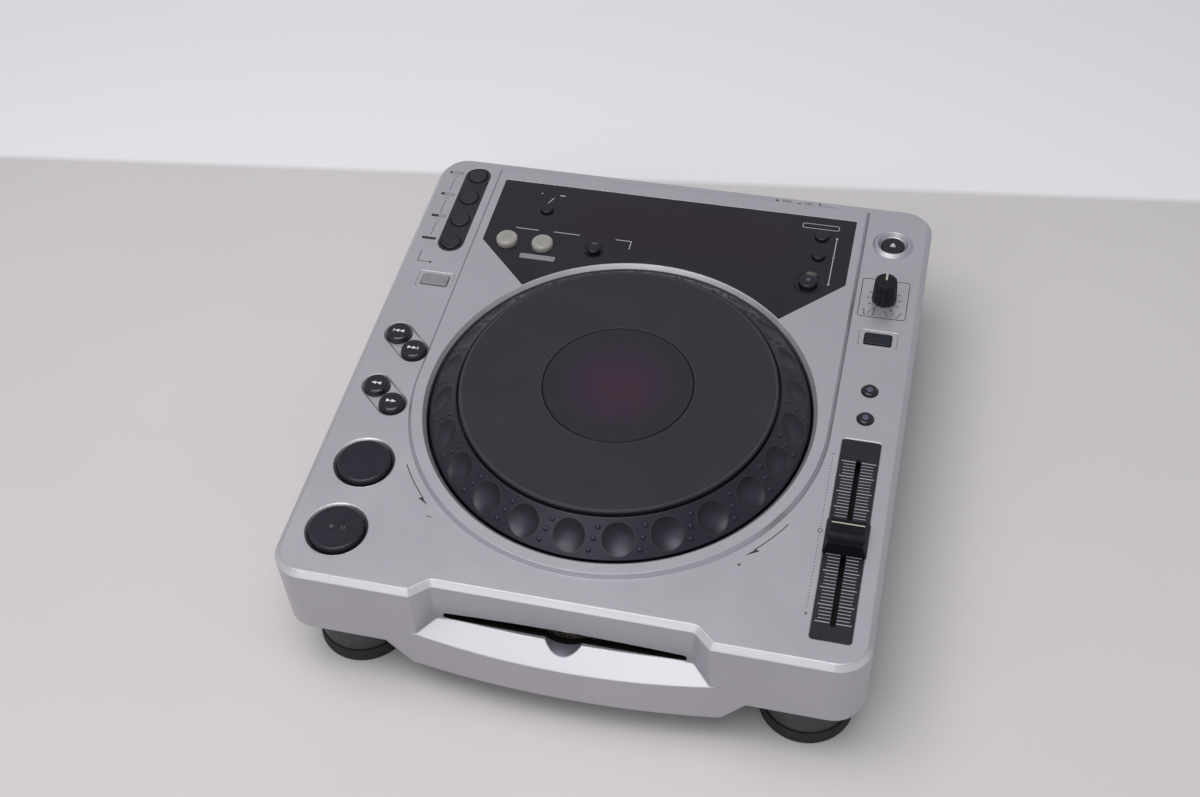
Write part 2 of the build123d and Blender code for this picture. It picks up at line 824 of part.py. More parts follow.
def jog_bearing():
    """Flanged sleeve between the post and the dial's hub."""
    bore = post_radius + 0.03
    return turned([
        (bore, well_floor), (bearing_radius + 3, well_floor),
        (bearing_radius + 3, dial_foot - seat_gap), (bearing_radius, dial_foot - seat_gap),
        (bearing_radius, web_top - 0.2), (bore, web_top - 0.2),
    ], 0, jog_y)


# ---------------------------------------------------------------- knob and fader

def speed_knob():
    """Tapered fluted knob on its shaft."""
    foot = case_top + 0.6
    top = case_top + knob_height
    body = turned([
        (0, foot), (knob_radius, foot), (knob_radius, foot + 1.2), (knob_top_radius, top - 0.5),
        (knob_top_radius - 0.5, top), (0, top),
    ])
    lean = degrees(atan((knob_radius - knob_top_radius) / knob_height))
    for step in range(knob_flutes):
        groove = Pos(knob_radius + 0.25, 0, foot) * Rot(0, -lean, 0)
        body -= Rot(0, 0, (step + 0.5) * 360 / knob_flutes) * groove * Cylinder(0.8, 60)
    shaft = disc(shaft_radius, board_top + 3, foot + 1)
    return Pos(knob_x, knob_y) * (body + shaft)


def speed_pot():
    """Rotary control under the knob, standing on its board."""
    top = roof_under - 2.0
    body = block(-pot_half, pot_half, -pot_half, pot_half, board_top, top)
    body += disc(4.6, top, roof_under)
    body -= disc(shaft_radius + shaft_fit, board_top + 2.7, case_top)
    return Pos(knob_x, knob_y) * body


def fader_body():
    """Slotted can that guides the fader's carrier."""
    length = fader_slot_length + 12
    floor = roof_under - fader_can_height
    can = slab(Pos(fader_x, fader_slot_y) * Rectangle(fader_can_width, length), floor, roof_under)
    room = Rectangle(fader_can_width - 2, fader_slot_length + 6)
    can -= slab(Pos(fader_x, fader_slot_y) * room, floor + 1, roof_under - 1)
    return can - slab(slot_outline(fader_slot_width, fader_slot_length), roof_under - 2, roof_under + 1)


def fader_slider():
    """Carrier in the can with the upright blade that holds the cap."""
    low = roof_under - fader_can_height + 1 + seat_gap
    high = roof_under - 1 - seat_gap
    half = fader_can_width / 2 - 1 - seat_gap
    carrier = block(-half, half, -carrier_length / 2, carrier_length / 2, low, high)
    blade = block(-blade_thickness / 2, blade_thickness / 2, -blade_length / 2, blade_length / 2,
                  high - 1, case_top + fader_cap_top - 4)
    return Pos(fader_x, fader_slot_y) * (carrier + blade)


def fader_cap():
    """Finger cap: drafted on all sides, with a flat back and a hollow saddle up to its lip."""
    half = fader_cap_length / 2
    foot = fader_cap_lift
    top = fader_cap_top
    lip = -half + 1.7
    flat = -0.2
    saddle = ThreePointArc((lip, top), ((lip + flat) / 2, top - fader_saddle_depth), (flat, top))
    rest = Polyline(
        (flat, top), (half - 4.4, top), (half, foot), (-half, foot), (lip - 0.7, top - 0.6),
        (lip - 0.4, top), (lip, top))
    cap = extrude(Plane.YZ * make_face(saddle + rest), amount=fader_cap_width / 2, both=True)
    sides = Polygon((-fader_cap_width / 2, foot), (fader_cap_width / 2, foot),
                    (fader_cap_top_width / 2, top), (-fader_cap_top_width / 2, top), align=None)
    cap &= extrude(Plane.XZ * sides, amount=fader_cap_length, both=True)
    bore = block(-blade_thickness / 2 - 0.05, blade_thickness / 2 + 0.05,
                 -blade_length / 2 - 0.05, blade_length / 2 + 0.05, 0, top - 4 + 0.05)
    return Pos(fader_x, fader_slot_y, case_top) * (cap - bore)


# ---------------------------------------------------------------- base
def inside_outline(gap):
    """Plan of the space between the case walls, a little smaller all round."""
    width = case_width - 2 * case_wall - 2 * gap
    depth = case_depth - 2 * case_wall - 2 * gap
    return rounded(width, depth, corner_radius - case_wall)


def base_tray():
    """Sheet tub that closes the case from below, with a flange screwed to the bosses."""
    outer = rounded(2 * tray_half_width, 2 * tray_half_depth, 10.0)
    inner = offset(outer, -tray_sheet)
    tub = slab(outer, tray_bottom, flange_under) - slab(inner, tray_bottom + tray_sheet, case_top)
    rim = inside_outline(running_gap) - inner
    rim -= Pos(0, front_y) * Rectangle(2 * belly_shoulder + 1, 2 * (tray_inset - tray_sheet))
    flange = slab(rim, flange_under, flange_under + tray_sheet)
    front = Pos(0, -tray_half_depth + tray_sheet / 2) * Rectangle(2 * belly_shoulder + 1, tray_sheet)
    tub += flange + slab(front, flange_under - 1, flange_under + tray_sheet)
    for x, y in CASE_SCREWS:
        tub -= disc(case_screw_radius + 0.2, tray_bottom, case_top, x, y)
    for x, y in VENTS:
        tub -= Pos(x, y) * slab(SlotOverall(30, 2.2), tray_bottom - 1, tray_bottom + 2)
    return tub


VENTS = [(side * 45.0, y) for side in (-1, 1) for y in (-60.0, -52.0, -44.0, 100.0, 108.0, 116.0)]
FOOT_PLACES = [(side * foot_x, end * foot_y) for side in (-1, 1) for end in (-1, 1)]


def feet():
    """Four round feet with a groove above the pad."""
    profile = [
        (0, pad_height), (foot_groove_radius, pad_height),
        (foot_groove_radius, pad_height + foot_groove), (foot_radius, pad_height + foot_groove),
        (foot_radius, tray_bottom - 1), (foot_radius - 1, tray_bottom), (0, tray_bottom),
    ]
    return Compound(children=[turned(profile, x, y) for x, y in FOOT_PLACES])


def foot_pads():
    """Four soft pads under the feet."""
    profile = [
        (0, 0), (pad_radius - 0.8, 0), (pad_radius, 0.8), (pad_top_radius, pad_height),
        (0, pad_height),
    ]
    return Compound(children=[turned(profile, x, y) for x, y in FOOT_PLACES])


def case_screws():
    """Screws that hold the tray's flange to the case, heads below."""
    screws = []
    for x, y in CASE_SCREWS:
        screw = disc(case_screw_radius, flange_under - 0.1, flange_under + screw_length, x, y)
        head = disc(screw_head_radius, flange_under - screw_head_height, flange_under, x, y)
        recess = Pos(x, y) * Rectangle(2.2, 0.6) + Pos(x, y) * Rectangle(0.6, 2.2)
        low = flange_under - screw_head_height
        screws.append(screw + head - slab(recess, low - 1, low + 1))
    return Compound(children=screws)


# ---------------------------------------------------------------- rear
SOCKETS = [reach - half_width for reach in (44.5, 62.5, 88.5)]
jack_x = 108.5 - half_width
inlet_x = half_width - 76.5
power_x = half_width - 40.5


def rear_round(radius, x, front, back):
    """Round rod that points backwards through the rear panel."""
    return long_rod(radius, front, back, x, socket_z)


def rear_panel():
    """Sheet behind the rear opening, bored for the sockets, the inlet and the switch."""
    half = rear_half_width + rear_lap
    near = panel_face - rear_sheet - 1
    far = back_y + 1
    panel = block(-half, half, panel_face - rear_sheet, panel_face,
                  rear_bottom - rear_lap, rear_top + rear_lap)
    for x in SOCKETS:
        panel -= rear_round(socket_collar_radius + seat_gap, x, near, far)
    panel -= rear_round(jack_radius + seat_gap, jack_x, near, far)
    panel -= rear_round(power_cap_radius + button_gap, power_x, near, far)
    inlet = block(-inlet_width / 2 - 0.2, inlet_width / 2 + 0.2, near, far,
                  socket_z - inlet_height / 2 - 0.2, socket_z + inlet_height / 2 + 0.2)
    return panel - Pos(inlet_x) * inlet


def audio_sockets():
    """Three coaxial sockets and a small jack behind the rear panel."""
    back = panel_face - rear_sheet
    far = panel_face + socket_reach + 1
    parts = []
    for x in SOCKETS:
        body = block(x - 7, x + 7, back - 12, back, socket_z - 8, socket_z + 8)
        body += rear_round(socket_collar_radius, x, back - 1, panel_face)
        body += rear_round(socket_shell_radius, x, back, panel_face + socket_reach)
        body -= rear_round(socket_bore_radius, x, back - 8, far)
        body += rear_round(1.9, x, back - 9, panel_face + 4) - rear_round(1.2, x, back - 7, far)
        parts.append(body)
    jack = block(jack_x - 5, jack_x + 5, back - 12, back, socket_z - 5, socket_z + 5)
    jack += rear_round(jack_radius, jack_x, back - 1, panel_face + 1.2)
    parts.append(jack - rear_round(jack_bore_radius, jack_x, back - 10, far))
    return Compound(children=parts)


def power_inlet():
    """Two-pin mains inlet with a figure-of-eight cavity."""
    back = panel_face - rear_sheet
    depth = 13.0
    body = block(-inlet_width / 2, inlet_width / 2, back - depth, panel_face + 1.0,
                 socket_z - inlet_height / 2, socket_z + inlet_height / 2)
    body += block(-inlet_width / 2 - 3, inlet_width / 2 + 3, back - 2, back,
                  socket_z - inlet_height / 2 - 3, socket_z + inlet_height / 2 + 3)
    floor = back - depth + 2
    far = panel_face + 2
    cavity = rear_round(3.8, -pin_pitch / 2, floor, far)
    cavity += rear_round(3.8, pin_pitch / 2, floor, far)
    cavity += block(-pin_pitch / 2, pin_pitch / 2, floor, far, socket_z - 2.6, socket_z + 2.6)
    body -= cavity
    for side in (-1, 1):
        body += rear_round(pin_radius, side * pin_pitch / 2, back - depth + 1, panel_face - 2)
    return Pos(inlet_x) * body


def power_button():
    """Round cap that is pushed in from the back."""
    flange_back = panel_face - rear_sheet - seat_gap
    cap = rear_round(power_cap_radius, power_x, flange_back - 1.5, panel_face + power_rise)
    cap += rear_round(power_cap_radius + flange_width, power_x, flange_back - 1.5, flange_back)
    stem = rear_round(2.0, power_x, flange_back - 9, flange_back - 1)
    return chamfer(cap.edges().filter_by(GeomType.CIRCLE).sort_by(Axis.Y)[-1], 0.5) + stem


# ---------------------------------------------------------------- drive
roller_z = slot_bottom + 0.2 - roller_radius
pivot_z = slot_bottom - pivot_drop
deck_top = pivot_z - 2.0
deck_under = deck_top - drive_sheet
rod_z = deck_top + 4.0
sled_y = disc_y - 24.0
rods_front = deck_front + 10.0
rods_back = disc_y - turntable_radius + 1.0


def drive_frame():
    """Sheet frame of the disc drive on four legs, open in the middle."""
    wide = drive_half_width
    frame = block(-wide, wide, drive_front, drive_back, drive_floor, drive_top)
    frame -= block(-wide + drive_sheet, wide - drive_sheet, drive_front - 1, drive_back + 1,
                   drive_floor - 1, drive_top - drive_sheet)
    frame -= block(-38, 38, disc_y - 53, disc_y + 47, drive_top - 5, drive_top + 1)
    for side in (-1, 1):
        inner = side * (wide - 10)
        edge = side * wide
        frame += block(min(inner, edge), max(inner, edge), drive_front, drive_front + 14,
                       drive_floor, drive_floor + drive_sheet)
        frame += block(min(inner, edge), max(inner, edge), drive_back - 14, drive_back,
                       drive_floor, drive_floor + drive_sheet)
        for y in (drive_front + 7, drive_back - 7):
            frame += disc(3.5, tray_bottom + tray_sheet, drive_floor, side * (wide - 5), y)
    frame -= cross_rod(roller_shaft_radius + shaft_fit, wide + 1, roller_y, roller_z)
    frame -= cross_rod(pivot_radius + shaft_fit, wide + 1, pivot_y, pivot_z)
    return frame


def loading_roller():
    """Soft roller that carries a disc in and out, on a thin shaft."""
    shaft = cross_rod(roller_shaft_radius, drive_half_width + 1.2, roller_y, roller_z)
    return shaft + cross_rod(roller_radius, disc_radius, roller_y, roller_z)


def traverse_frame():
    """Hinged deck that lifts the turntable to the disc."""
    half = deck_half_width
    ear = drive_half_width - 7.5
    deck = block(-half, half, deck_front, deck_back, deck_under, deck_top)
    deck += block(-ear, ear, deck_front, pivot_y + 8, deck_under, deck_top)
    deck += cross_rod(pivot_radius + 1.6, ear, pivot_y, pivot_z)
    deck += cross_rod(pivot_radius, drive_half_width + 0.8, pivot_y, pivot_z)
    deck -= block(-34, 34, deck_front, pivot_y + 5, deck_top, pivot_z + 5)
    deck -= disc(motor_shaft_radius + 1.0, deck_under - 1, deck_top + 6, 0, disc_y)
    deck -= block(-11, 11, rods_front + 12, rods_back - 2, deck_under - 1, deck_top + 1)
    for x in (-rod_spacing / 2, rod_spacing / 2, screw_x):
        for y in (rods_front, rods_back):
            post = block(x - 3, x + 3, y - 1.5, y + 1.5, deck_top, rod_z + 3)
            deck += post
        bore = rod_radius if x < screw_x else screw_radius + shaft_fit
        deck -= long_rod(bore, rods_front - 2, rods_back + 2, x, rod_z)
    return deck


def spindle_motor():
    """Flat motor under the deck with its shaft."""
    can = disc(12.0, deck_under - 8.0, deck_under, 0, disc_y)
    return can + disc(motor_shaft_radius, deck_under - 1, deck_top + 9.5, 0, disc_y)


def guide_rods():
    """Two rods that guide the pickup."""
    rods = [long_rod(rod_radius, rods_front - 1.5, rods_back + 1.5, side * rod_spacing / 2, rod_z)
            for side in (-1, 1)]
    return Compound(children=rods)


def spindle_hub():
    """Turntable with the cone that centres a disc."""
    foot = deck_top + seat_gap
    plate = deck_top + 8.0
    top = slot_bottom - 0.2
    hub = turned([
        (0, deck_top + 9.8), (motor_shaft_radius + 0.04, deck_top + 9.8),
        (motor_shaft_radius + 0.04, foot), (5.0, foot), (5.0, plate), (turntable_radius, plate),
        (turntable_radius, plate + 2), (hub_radius, plate + 2), (hub_radius, top - 0.8),
        (hub_radius - 2, top), (0, top),
    ], 0, disc_y)
    return hub


def pickup_sled():
    """Optical pickup on two rods, moved along by a nut on the lead screw."""
    low = deck_top + 1.0
    high = rod_z + 3.0
    front = sled_y - 8
    back = sled_y + 8
    sled = block(-22, 22, front, back, low, high)
    sled += block(20, screw_x + 3.2, sled_y - 4, sled_y + 4, rod_z - 3, rod_z + 3)
    for side in (-1, 1):
        sled -= long_rod(rod_radius + shaft_fit, front - 1, back + 1, side * rod_spacing / 2, rod_z)
    sled -= long_rod(screw_radius + shaft_fit, front - 1, back + 1, screw_x, rod_z)
    sled += disc(6.0, high, high + 1.2, 0, sled_y)
    return sled + disc(2.4, high + 1.0, high + 2.0, 0, sled_y)


def lead_screw():
    """Lead screw with the gear at its front end."""
    screw = long_rod(screw_radius, rods_front - 6, rods_back + 1.5, screw_x, rod_z)
    return screw + long_rod(3.4, rods_front - 5.5, rods_front - 2, screw_x, rod_z)


# ---------------------------------------------------------------- boards
def display_module():
    """Display behind the window, in its frame on the display board."""
    left = -window_half_width + 48.2
    right = window_half_width - 36.2
    front = window_corner + 9.7
    back = window_back - 4.7
    top = window_under - seat_gap
    module = block(left, right, front, back, board_top, top)
    rim = 4.0
    return module - block(left + rim, right - rim, front + rim, back - rim, top - 0.6, top + 1)


def control_boards():
    """Three boards that carry the switches, the fader and the display."""
    low = board_top - board_thickness
    inner = display_board_half + 1.0
    outer = half_width - case_wall - 2.5
    back = back_y - 14.7
    left = block(-outer, -inner, front_y + 14.7, back, low, board_top)
    right = block(inner, outer, fader_plate_back + 5.3, back, low, board_top)
    middle = block(-display_board_half, display_board_half, window_corner - 5.3, window_back + 8.3,
                   low, board_top)
    return Compound(children=[left, right, middle])


def tact_switches():
    """One small switch under every button."""
    half = switch_size / 2
    top = board_top + switch_height
    switches = []
    for b in round_buttons + keys:
        body = block(-half, half, -half, half, board_top, top)
        switches.append(Pos(b.x, b.y) * (body + disc(plunger_radius, top - 1, plunger_top)))
    return Compound(children=switches)


board_z = tray_bottom + 6.0
board_front = drive_back + 18.0
main_board_right = 18.0
supply_board_left = main_board_right + 8.0


def standing_board(left, right, front, back):
    """Board on four pillars above the tray floor."""
    board = block(left, right, front, back, board_z, board_z + board_thickness)
    for x in (left + 5, right - 5):
        for y in (front + 5, back - 5):
            board += disc(2.8, tray_bottom + tray_sheet, board_z + 0.5, x, y)
    return board


def main_board():
    """Main board with its chips and connectors."""
    top = board_z + board_thickness
    left = 9.0 - tray_half_width
    front = board_front
    right = main_board_right
    board = standing_board(left, right, front, tray_half_depth - 7.2)
    board += block(left + 36, left + 60, front + 28, front + 52, top, top + 2)
    board += block(left + 80, left + 98, front + 22, front + 34, top, top + 1.6)
    board += block(left + 80, left + 98, front + 42, front + 54, top, top + 1.6)
    board += block(right - 38, right - 8, front + 4, front + 10, top, top + 8)
    board += block(left + 16, left + 46, front + 4, front + 10, top, top + 8)
    for x in (right - 42, right - 30, right - 18):
        board += disc(4.0, top, top + 11, x, front + 66)
    return board


def power_supply():
    """Supply board with its transformer, capacitors and heat sink."""
    top = board_z + board_thickness
    left = supply_board_left
    right = tray_half_width - 9
    front = board_front
    board = standing_board(left, right, front, tray_half_depth - 19.2)
    board += block(right - 56, right - 24, front + 30, front + 58, top, top + 26)
    board += block(left + 10, left + 46, front + 8, front + 11, top, top + 24)
    for x in (left + 16, left + 32):
        board += disc(7.0, top, top + 22, x, front + 50)
    return board


# ---------------------------------------------------------------- one file per piece
PIECES = {
    "top_case": top_case,
    "base_tray": base_tray,
    "rear_panel": rear_panel,
    "display_window": display_window,
    "display_module": display_module,
    "beat_plate": beat_plate,
    "transport_bezels": transport_bezels,
    "mode_bezels": mode_bezels,
    "eject_ring": eject_ring,
    "fader_plate": fader_plate,
    "fader_body": fader_body,
    "fader_slider": fader_slider,
    "fader_cap": fader_cap,
    "speed_pot": speed_pot,
    "speed_knob": speed_knob,
    "jog_frame": jog_frame,
    "jog_bearing": jog_bearing,
    "jog_dial": jog_dial,
    "jog_platter": jog_platter,
    "jog_window": jog_window,
    "control_boards": control_boards,
    "tact_switches": tact_switches,
    "main_board": main_board,
    "power_supply": power_supply,
    "drive_frame": drive_frame,
    "loading_roller": loading_roller,
    "traverse_frame": traverse_frame,
    "spindle_motor": spindle_motor,
    "guide_rods": guide_rods,
    "spindle_hub": spindle_hub,
    "pickup_sled": pickup_sled,
    "lead_screw": lead_screw,
    "audio_sockets": audio_sockets,
    "power_inlet": power_inlet,
    "power_button": power_button,
    "feet": feet,
    "foot_pads": foot_pads,
    "case_screws": case_screws,
}


def write_all():
    """Write every piece to its own file."""
    os.makedirs("parts", exist_ok=True)
    for name, piece in PIECES.items():
        export_step(piece(), "parts/" + name + ".step")
    for b in round_buttons:
        export_step(round_button(b), "parts/" + b.name + ".step")
    for k in keys:
        export_step(key_button(k), "parts/" + k.name + ".step")


write_all()
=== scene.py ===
"""Looks of a tabletop disc player for a DJ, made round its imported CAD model.

Sizes are in millimetres and become metres in the meshes and the shaders.
"""
import math

import bpy
from mathutils import Matrix, Vector


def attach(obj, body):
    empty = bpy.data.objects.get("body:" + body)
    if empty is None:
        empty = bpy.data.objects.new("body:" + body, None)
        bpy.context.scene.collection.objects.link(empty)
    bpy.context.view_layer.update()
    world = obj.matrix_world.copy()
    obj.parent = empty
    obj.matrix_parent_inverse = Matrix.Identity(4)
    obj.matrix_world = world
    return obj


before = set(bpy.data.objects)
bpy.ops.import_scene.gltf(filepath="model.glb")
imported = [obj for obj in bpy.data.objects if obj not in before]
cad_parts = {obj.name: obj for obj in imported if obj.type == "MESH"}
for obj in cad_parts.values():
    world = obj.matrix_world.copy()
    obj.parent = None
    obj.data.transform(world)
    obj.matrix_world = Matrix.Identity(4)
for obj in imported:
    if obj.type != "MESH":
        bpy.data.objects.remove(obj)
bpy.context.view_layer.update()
scene = bpy.context.scene
scene.view_settings.view_transform = "Standard"

MM = 0.001
CASE_TOP = 88.2
WINDOW_TOP = 90.7
PLATFORM_HALF = 114.6       # half width of the raised platform at its foot
PLATFORM_BACK = 155.0
SCOOP_AXIS = 66.65          # height of the axis of the finger scoop in the lip
SCOOP_RADIUS = 13.45
FADER_SLOT = (129.9, 133.1)
FADER_PLATE_TOP = 87.8
KNOB = (131.0, 84.8)
PANEL_FACE = 159.7          # outer face of the rear panel
SOCKET_Z = 62.0

# Jog wheel
JOG_Y = -21.5
DIAL_RADIUS = 103.3
DIAL_CREST_RADIUS = 87.7
DIAL_RUN = DIAL_RADIUS - DIAL_CREST_RADIUS
DIAL_RISE = 14.7
DIAL_SLOPE = math.hypot(DIAL_RUN, DIAL_RISE)
DIAL_MIDDLE = (DIAL_RADIUS + DIAL_CREST_RADIUS) / 2
DIMPLES = 24
DIMPLE_STEP = 360 / DIMPLES
FIRST_DIMPLE = -92.5


# ---------------------------------------------------------------- materials
class Look:
    """One material: a Principled shader with procedural nodes in object coordinates."""

    def __init__(self, name, colour, roughness=0.5, metallic=0.0, **sockets):
        self.material = bpy.data.materials.new(name)
        self.material.use_nodes = True
        self.tree = self.material.node_tree
        self.shader = self.tree.nodes["Principled BSDF"]
        self.colour = (*colour, 1.0)
        self.shader.inputs["Base Color"].default_value = self.colour
        self.shader.inputs["Roughness"].default_value = roughness
        self.shader.inputs["Metallic"].default_value = metallic
        for key, value in sockets.items():
            self.shader.inputs[key.replace("_", " ")].default_value = value
        self.coords = self.tree.nodes.new("ShaderNodeTexCoord").outputs["Object"]
        self.colour_out = None
        self.bump_out = None

    def node(self, kind, inputs=None, **settings):
        made = self.tree.nodes.new("ShaderNode" + kind)
        for key, value in settings.items():
            setattr(made, key, value)
        for key, value in (inputs or {}).items():
            if isinstance(value, bpy.types.NodeSocket):
                self.tree.links.new(value, made.inputs[key])
            else:
                made.inputs[key].default_value = value
        return made

    def noise(self, size, detail=2.0, stretch=None):
        """Noise whose patches are about size millimetres across."""
        where = self.coords
        if stretch:
            where = self.node("Mapping", {"Vector": where, "Scale": stretch}).outputs["Vector"]
        made = self.node("TexNoise", {"Vector": where, "Scale": 1 / (size * MM), "Detail": detail})
        return made.outputs["Fac"]

    def cells(self, size, feature="F1"):
        """Distance in a pattern of cells about size millimetres across."""
        inputs = {"Vector": self.coords, "Scale": 1 / (size * MM)}
        return self.node("TexVoronoi", inputs, feature=feature).outputs["Distance"]

    def span(self, value, low, high, to_low=0.0, to_high=1.0, smooth=False):
        """Maps a value from one range to another and holds it there."""
        made = self.node("MapRange", {
            "Value": value, "From Min": low, "From Max": high, "To Min": to_low, "To Max": to_high},
            clamp=True, interpolation_type="SMOOTHSTEP" if smooth else "LINEAR")
        return made.outputs["Result"]

    def maths(self, kind, first, second=0.0):
        return self.node("Math", {0: first, 1: second}, operation=kind).outputs[0]

    def both(self, first, *others):
        """Product of masks and shares."""
        for other in others:
            first = self.maths("MULTIPLY", first, other)
        return first

    def reach(self, first, second):
        """Length of a flat vector."""
        flat = self.node("CombineXYZ", {0: first, 1: second, 2: 0.0}).outputs[0]
        return self.node("VectorMath", {0: flat}, operation="LENGTH").outputs["Value"]

    def axis(self, letter, origin=0.0):
        """Distance along an axis from a place on it in millimetres."""
        value = self.node("SeparateXYZ", {0: self.coords}).outputs[letter]
        return self.maths("SUBTRACT", value, origin * MM) if origin else value

    def inside(self, letter, low, high, soft=0.2):
        """Mask that is 1 between two places in millimetres along an axis."""
        value = self.axis(letter)
        rise = self.span(value, (low - soft) * MM, (low + soft) * MM)
        fall = self.span(value, (high - soft) * MM, (high + soft) * MM, 1.0, 0.0)
        return self.both(rise, fall)

    def outside(self, letter, reach):
        """Mask that is 1 farther than a distance in millimetres from the middle."""
        distance = self.maths("ABSOLUTE", self.axis(letter))
        return self.span(distance, (reach - 0.5) * MM, (reach + 0.5) * MM)

    def round_mask(self, x, y, inner, outer):
        """Mask that falls from 1 to 0 between two radii round an upright axis."""
        distance = self.reach(self.axis("X", x), self.axis("Y", y))
        return self.span(distance, inner * MM, outer * MM, 1.0, 0.0, smooth=True)

    def jog_ring(self, inner, outer, soft=0.15):
        """Mask that is 1 between two radii round the jog wheel's axis."""
        return self.maths("SUBTRACT", self.round_mask(0, JOG_Y, outer - soft, outer + soft),
                          self.round_mask(0, JOG_Y, inner - soft, inner + soft))

    def tint(self, mask, colour):
        """Blends a colour in where the mask is 1."""
        before = self.colour_out if self.colour_out else self.colour
        made = self.node("Mix", {"Factor": mask}, data_type="RGBA")
        for index, value in ((6, before), (7, (*colour, 1.0))):
            if isinstance(value, bpy.types.NodeSocket):
                self.tree.links.new(value, made.inputs[index])
            else:
                made.inputs[index].default_value = value
        self.colour_out = made.outputs[2]
        self.tree.links.new(self.colour_out, self.shader.inputs["Base Color"])
        return self

    def mottle(self, size, amount):
        """Slow change of colour, lighter and darker by a share of it."""
        fac = self.noise(size, 3.0)
        lighter = [min(1.0, c * (1 + amount) + 0.002) for c in self.colour[:3]]
        darker = [c * (1 - amount) for c in self.colour[:3]]
        self.tint(self.span(fac, 0.45, 0.75), lighter)
        return self.tint(self.span(fac, 0.55, 0.25), darker)

    def gloss(self, size, low, high, stretch=None):
        """Roughness that wanders between two values."""
        fac = self.noise(size, 3.0, stretch)
        self.tree.links.new(self.span(fac, 0.3, 0.7, low, high), self.shader.inputs["Roughness"])
        return self

    def bump(self, height, strength, distance):
        """Adds a height of some millimetres to the bumps so far."""
        inputs = {"Height": height, "Strength": strength, "Distance": distance * MM}
        if self.bump_out:
            inputs["Normal"] = self.bump_out
        self.bump_out = self.node("Bump", inputs).outputs["Normal"]
        self.tree.links.new(self.bump_out, self.shader.inputs["Normal"])
        return self

    def soft_edges(self, radius):
        """Rounds the light on edges, as a moulding's small radii do; the radius is in metres."""
        self.bump_out = self.node("Bevel", {"Radius": radius}, samples=4).outputs["Normal"]
        self.tree.links.new(self.bump_out, self.shader.inputs["Normal"])
        return self

    def grain(self, size, strength, distance):
        """Fine even roughness of the surface."""
        return self.bump(self.noise(size), strength, distance)

    def dust(self, colour, size=1.6, share=0.72, amount=0.5):
        """Sparse specks of dust that gather in patches."""
        specks = self.span(self.noise(size, 4.0), share, share + 0.05)
        patches = self.span(self.noise(size * 22, 2.0), 0.45, 0.7, 0.15, 1.0)
        return self.tint(self.both(specks, patches, amount), colour)


def silver_paint():
    """Satin silver paint with fine metal flake over moulded plastic."""
    look = Look("silver_shell", (0.450, 0.442, 0.476), 0.36, 0.66, Specular_IOR_Level=0.4)
    rim = look.maths("MAXIMUM", look.outside("X", 148.0), look.outside("Y", 146.0))
    look.soft_edges(look.span(rim, 0.0, 1.0, 0.4 * MM, 1.1 * MM))
    look.mottle(60, 0.025)
    flakes = look.span(look.cells(0.35), 0.05, 0.6)
    look.tint(look.both(flakes, 0.14), (0.58, 0.58, 0.62))
    # Painted highlight: the front edge's bevel tinted lighter than the paint round it
    edge = look.inside("Z", CASE_TOP - 3.0, CASE_TOP - 0.4, 0.1)
    look.tint(look.both(look.inside("Y", -180, -150, 4), edge, 0.85), (0.66, 0.65, 0.68))
    # Painted shade: a dark line in the corner at the foot of the raised platform, fading towards
    # the front
    ahead = look.maths("MINIMUM", look.axis("Y", JOG_Y), 0.0)
    round_front = look.maths("SUBTRACT", look.reach(look.axis("X"), ahead), PLATFORM_HALF * MM)
    foot = look.maths("MAXIMUM", round_front, look.axis("Y", PLATFORM_BACK))
    line = look.both(look.span(foot, -0.45 * MM, -0.2 * MM),
                     look.span(foot, 0.2 * MM, 0.5 * MM, 1.0, 0.0))
    fading = look.span(look.axis("Y"), (JOG_Y - 80) * MM, JOG_Y * MM, 0.15, 0.75)
    look.tint(look.both(line, fading, look.inside("Z", 87.5, 89.5)), (0.115, 0.112, 0.13))
    # Painted shade in the finger scoop of the lip, darkest towards the slot
    scoop = look.reach(look.axis("X"), look.axis("Z", SCOOP_AXIS))
    scoop = look.span(scoop, (SCOOP_RADIUS + 0.05) * MM, (SCOOP_RADIUS + 0.35) * MM, 1.0, 0.0)
    shade = look.span(look.axis("Y"), -168 * MM, -155 * MM, 0.35, 1.0)
    look.tint(look.both(scoop, look.inside("Z", 50, 58.5), shade), (0.23, 0.23, 0.275))
    # Painted shade inside the disc slot and the fader's slot: near black
    mouth = look.both(look.inside("X", -63.6, 63.6), look.inside("Z", 52, 66))
    look.tint(look.both(mouth, look.inside("Y", -153.9, -148, 0.1)), (0.018, 0.017, 0.017))
    well = look.both(look.inside("X", 127, 136), look.inside("Z", 80, 86.3, 0.1))
    look.tint(look.both(well, look.inside("Y", -146, -28)), (0.012, 0.012, 0.013))
    look.gloss(25, 0.31, 0.38)
    return look.grain(0.4, 0.10, 0.02).material


def bright_plate(name, colour, low, high):
    """Satin chrome plating, a little cloudy."""
    look = Look(name, colour, (low + high) / 2, 1.0)
    look.soft_edges(0.3 * MM)
    look.mottle(6, 0.04)
    look.gloss(8, low, high)
    return look.grain(3.5, 0.01, 0.01).material


def moulded(name, colour, low, high, grain=0.12, size=0.45, specular=0.28, dusty=0.0):
    """Moulded plastic with a fine eroded grain."""
    look = Look(name, colour, (low + high) / 2, Specular_IOR_Level=specular)
    look.soft_edges(0.4 * MM)
    look.mottle(14, 0.10)
    if dusty:
        look.dust((0.30, 0.28, 0.25), amount=dusty)
    look.gloss(9, low, high)
    return look.grain(size, grain, 0.03).material


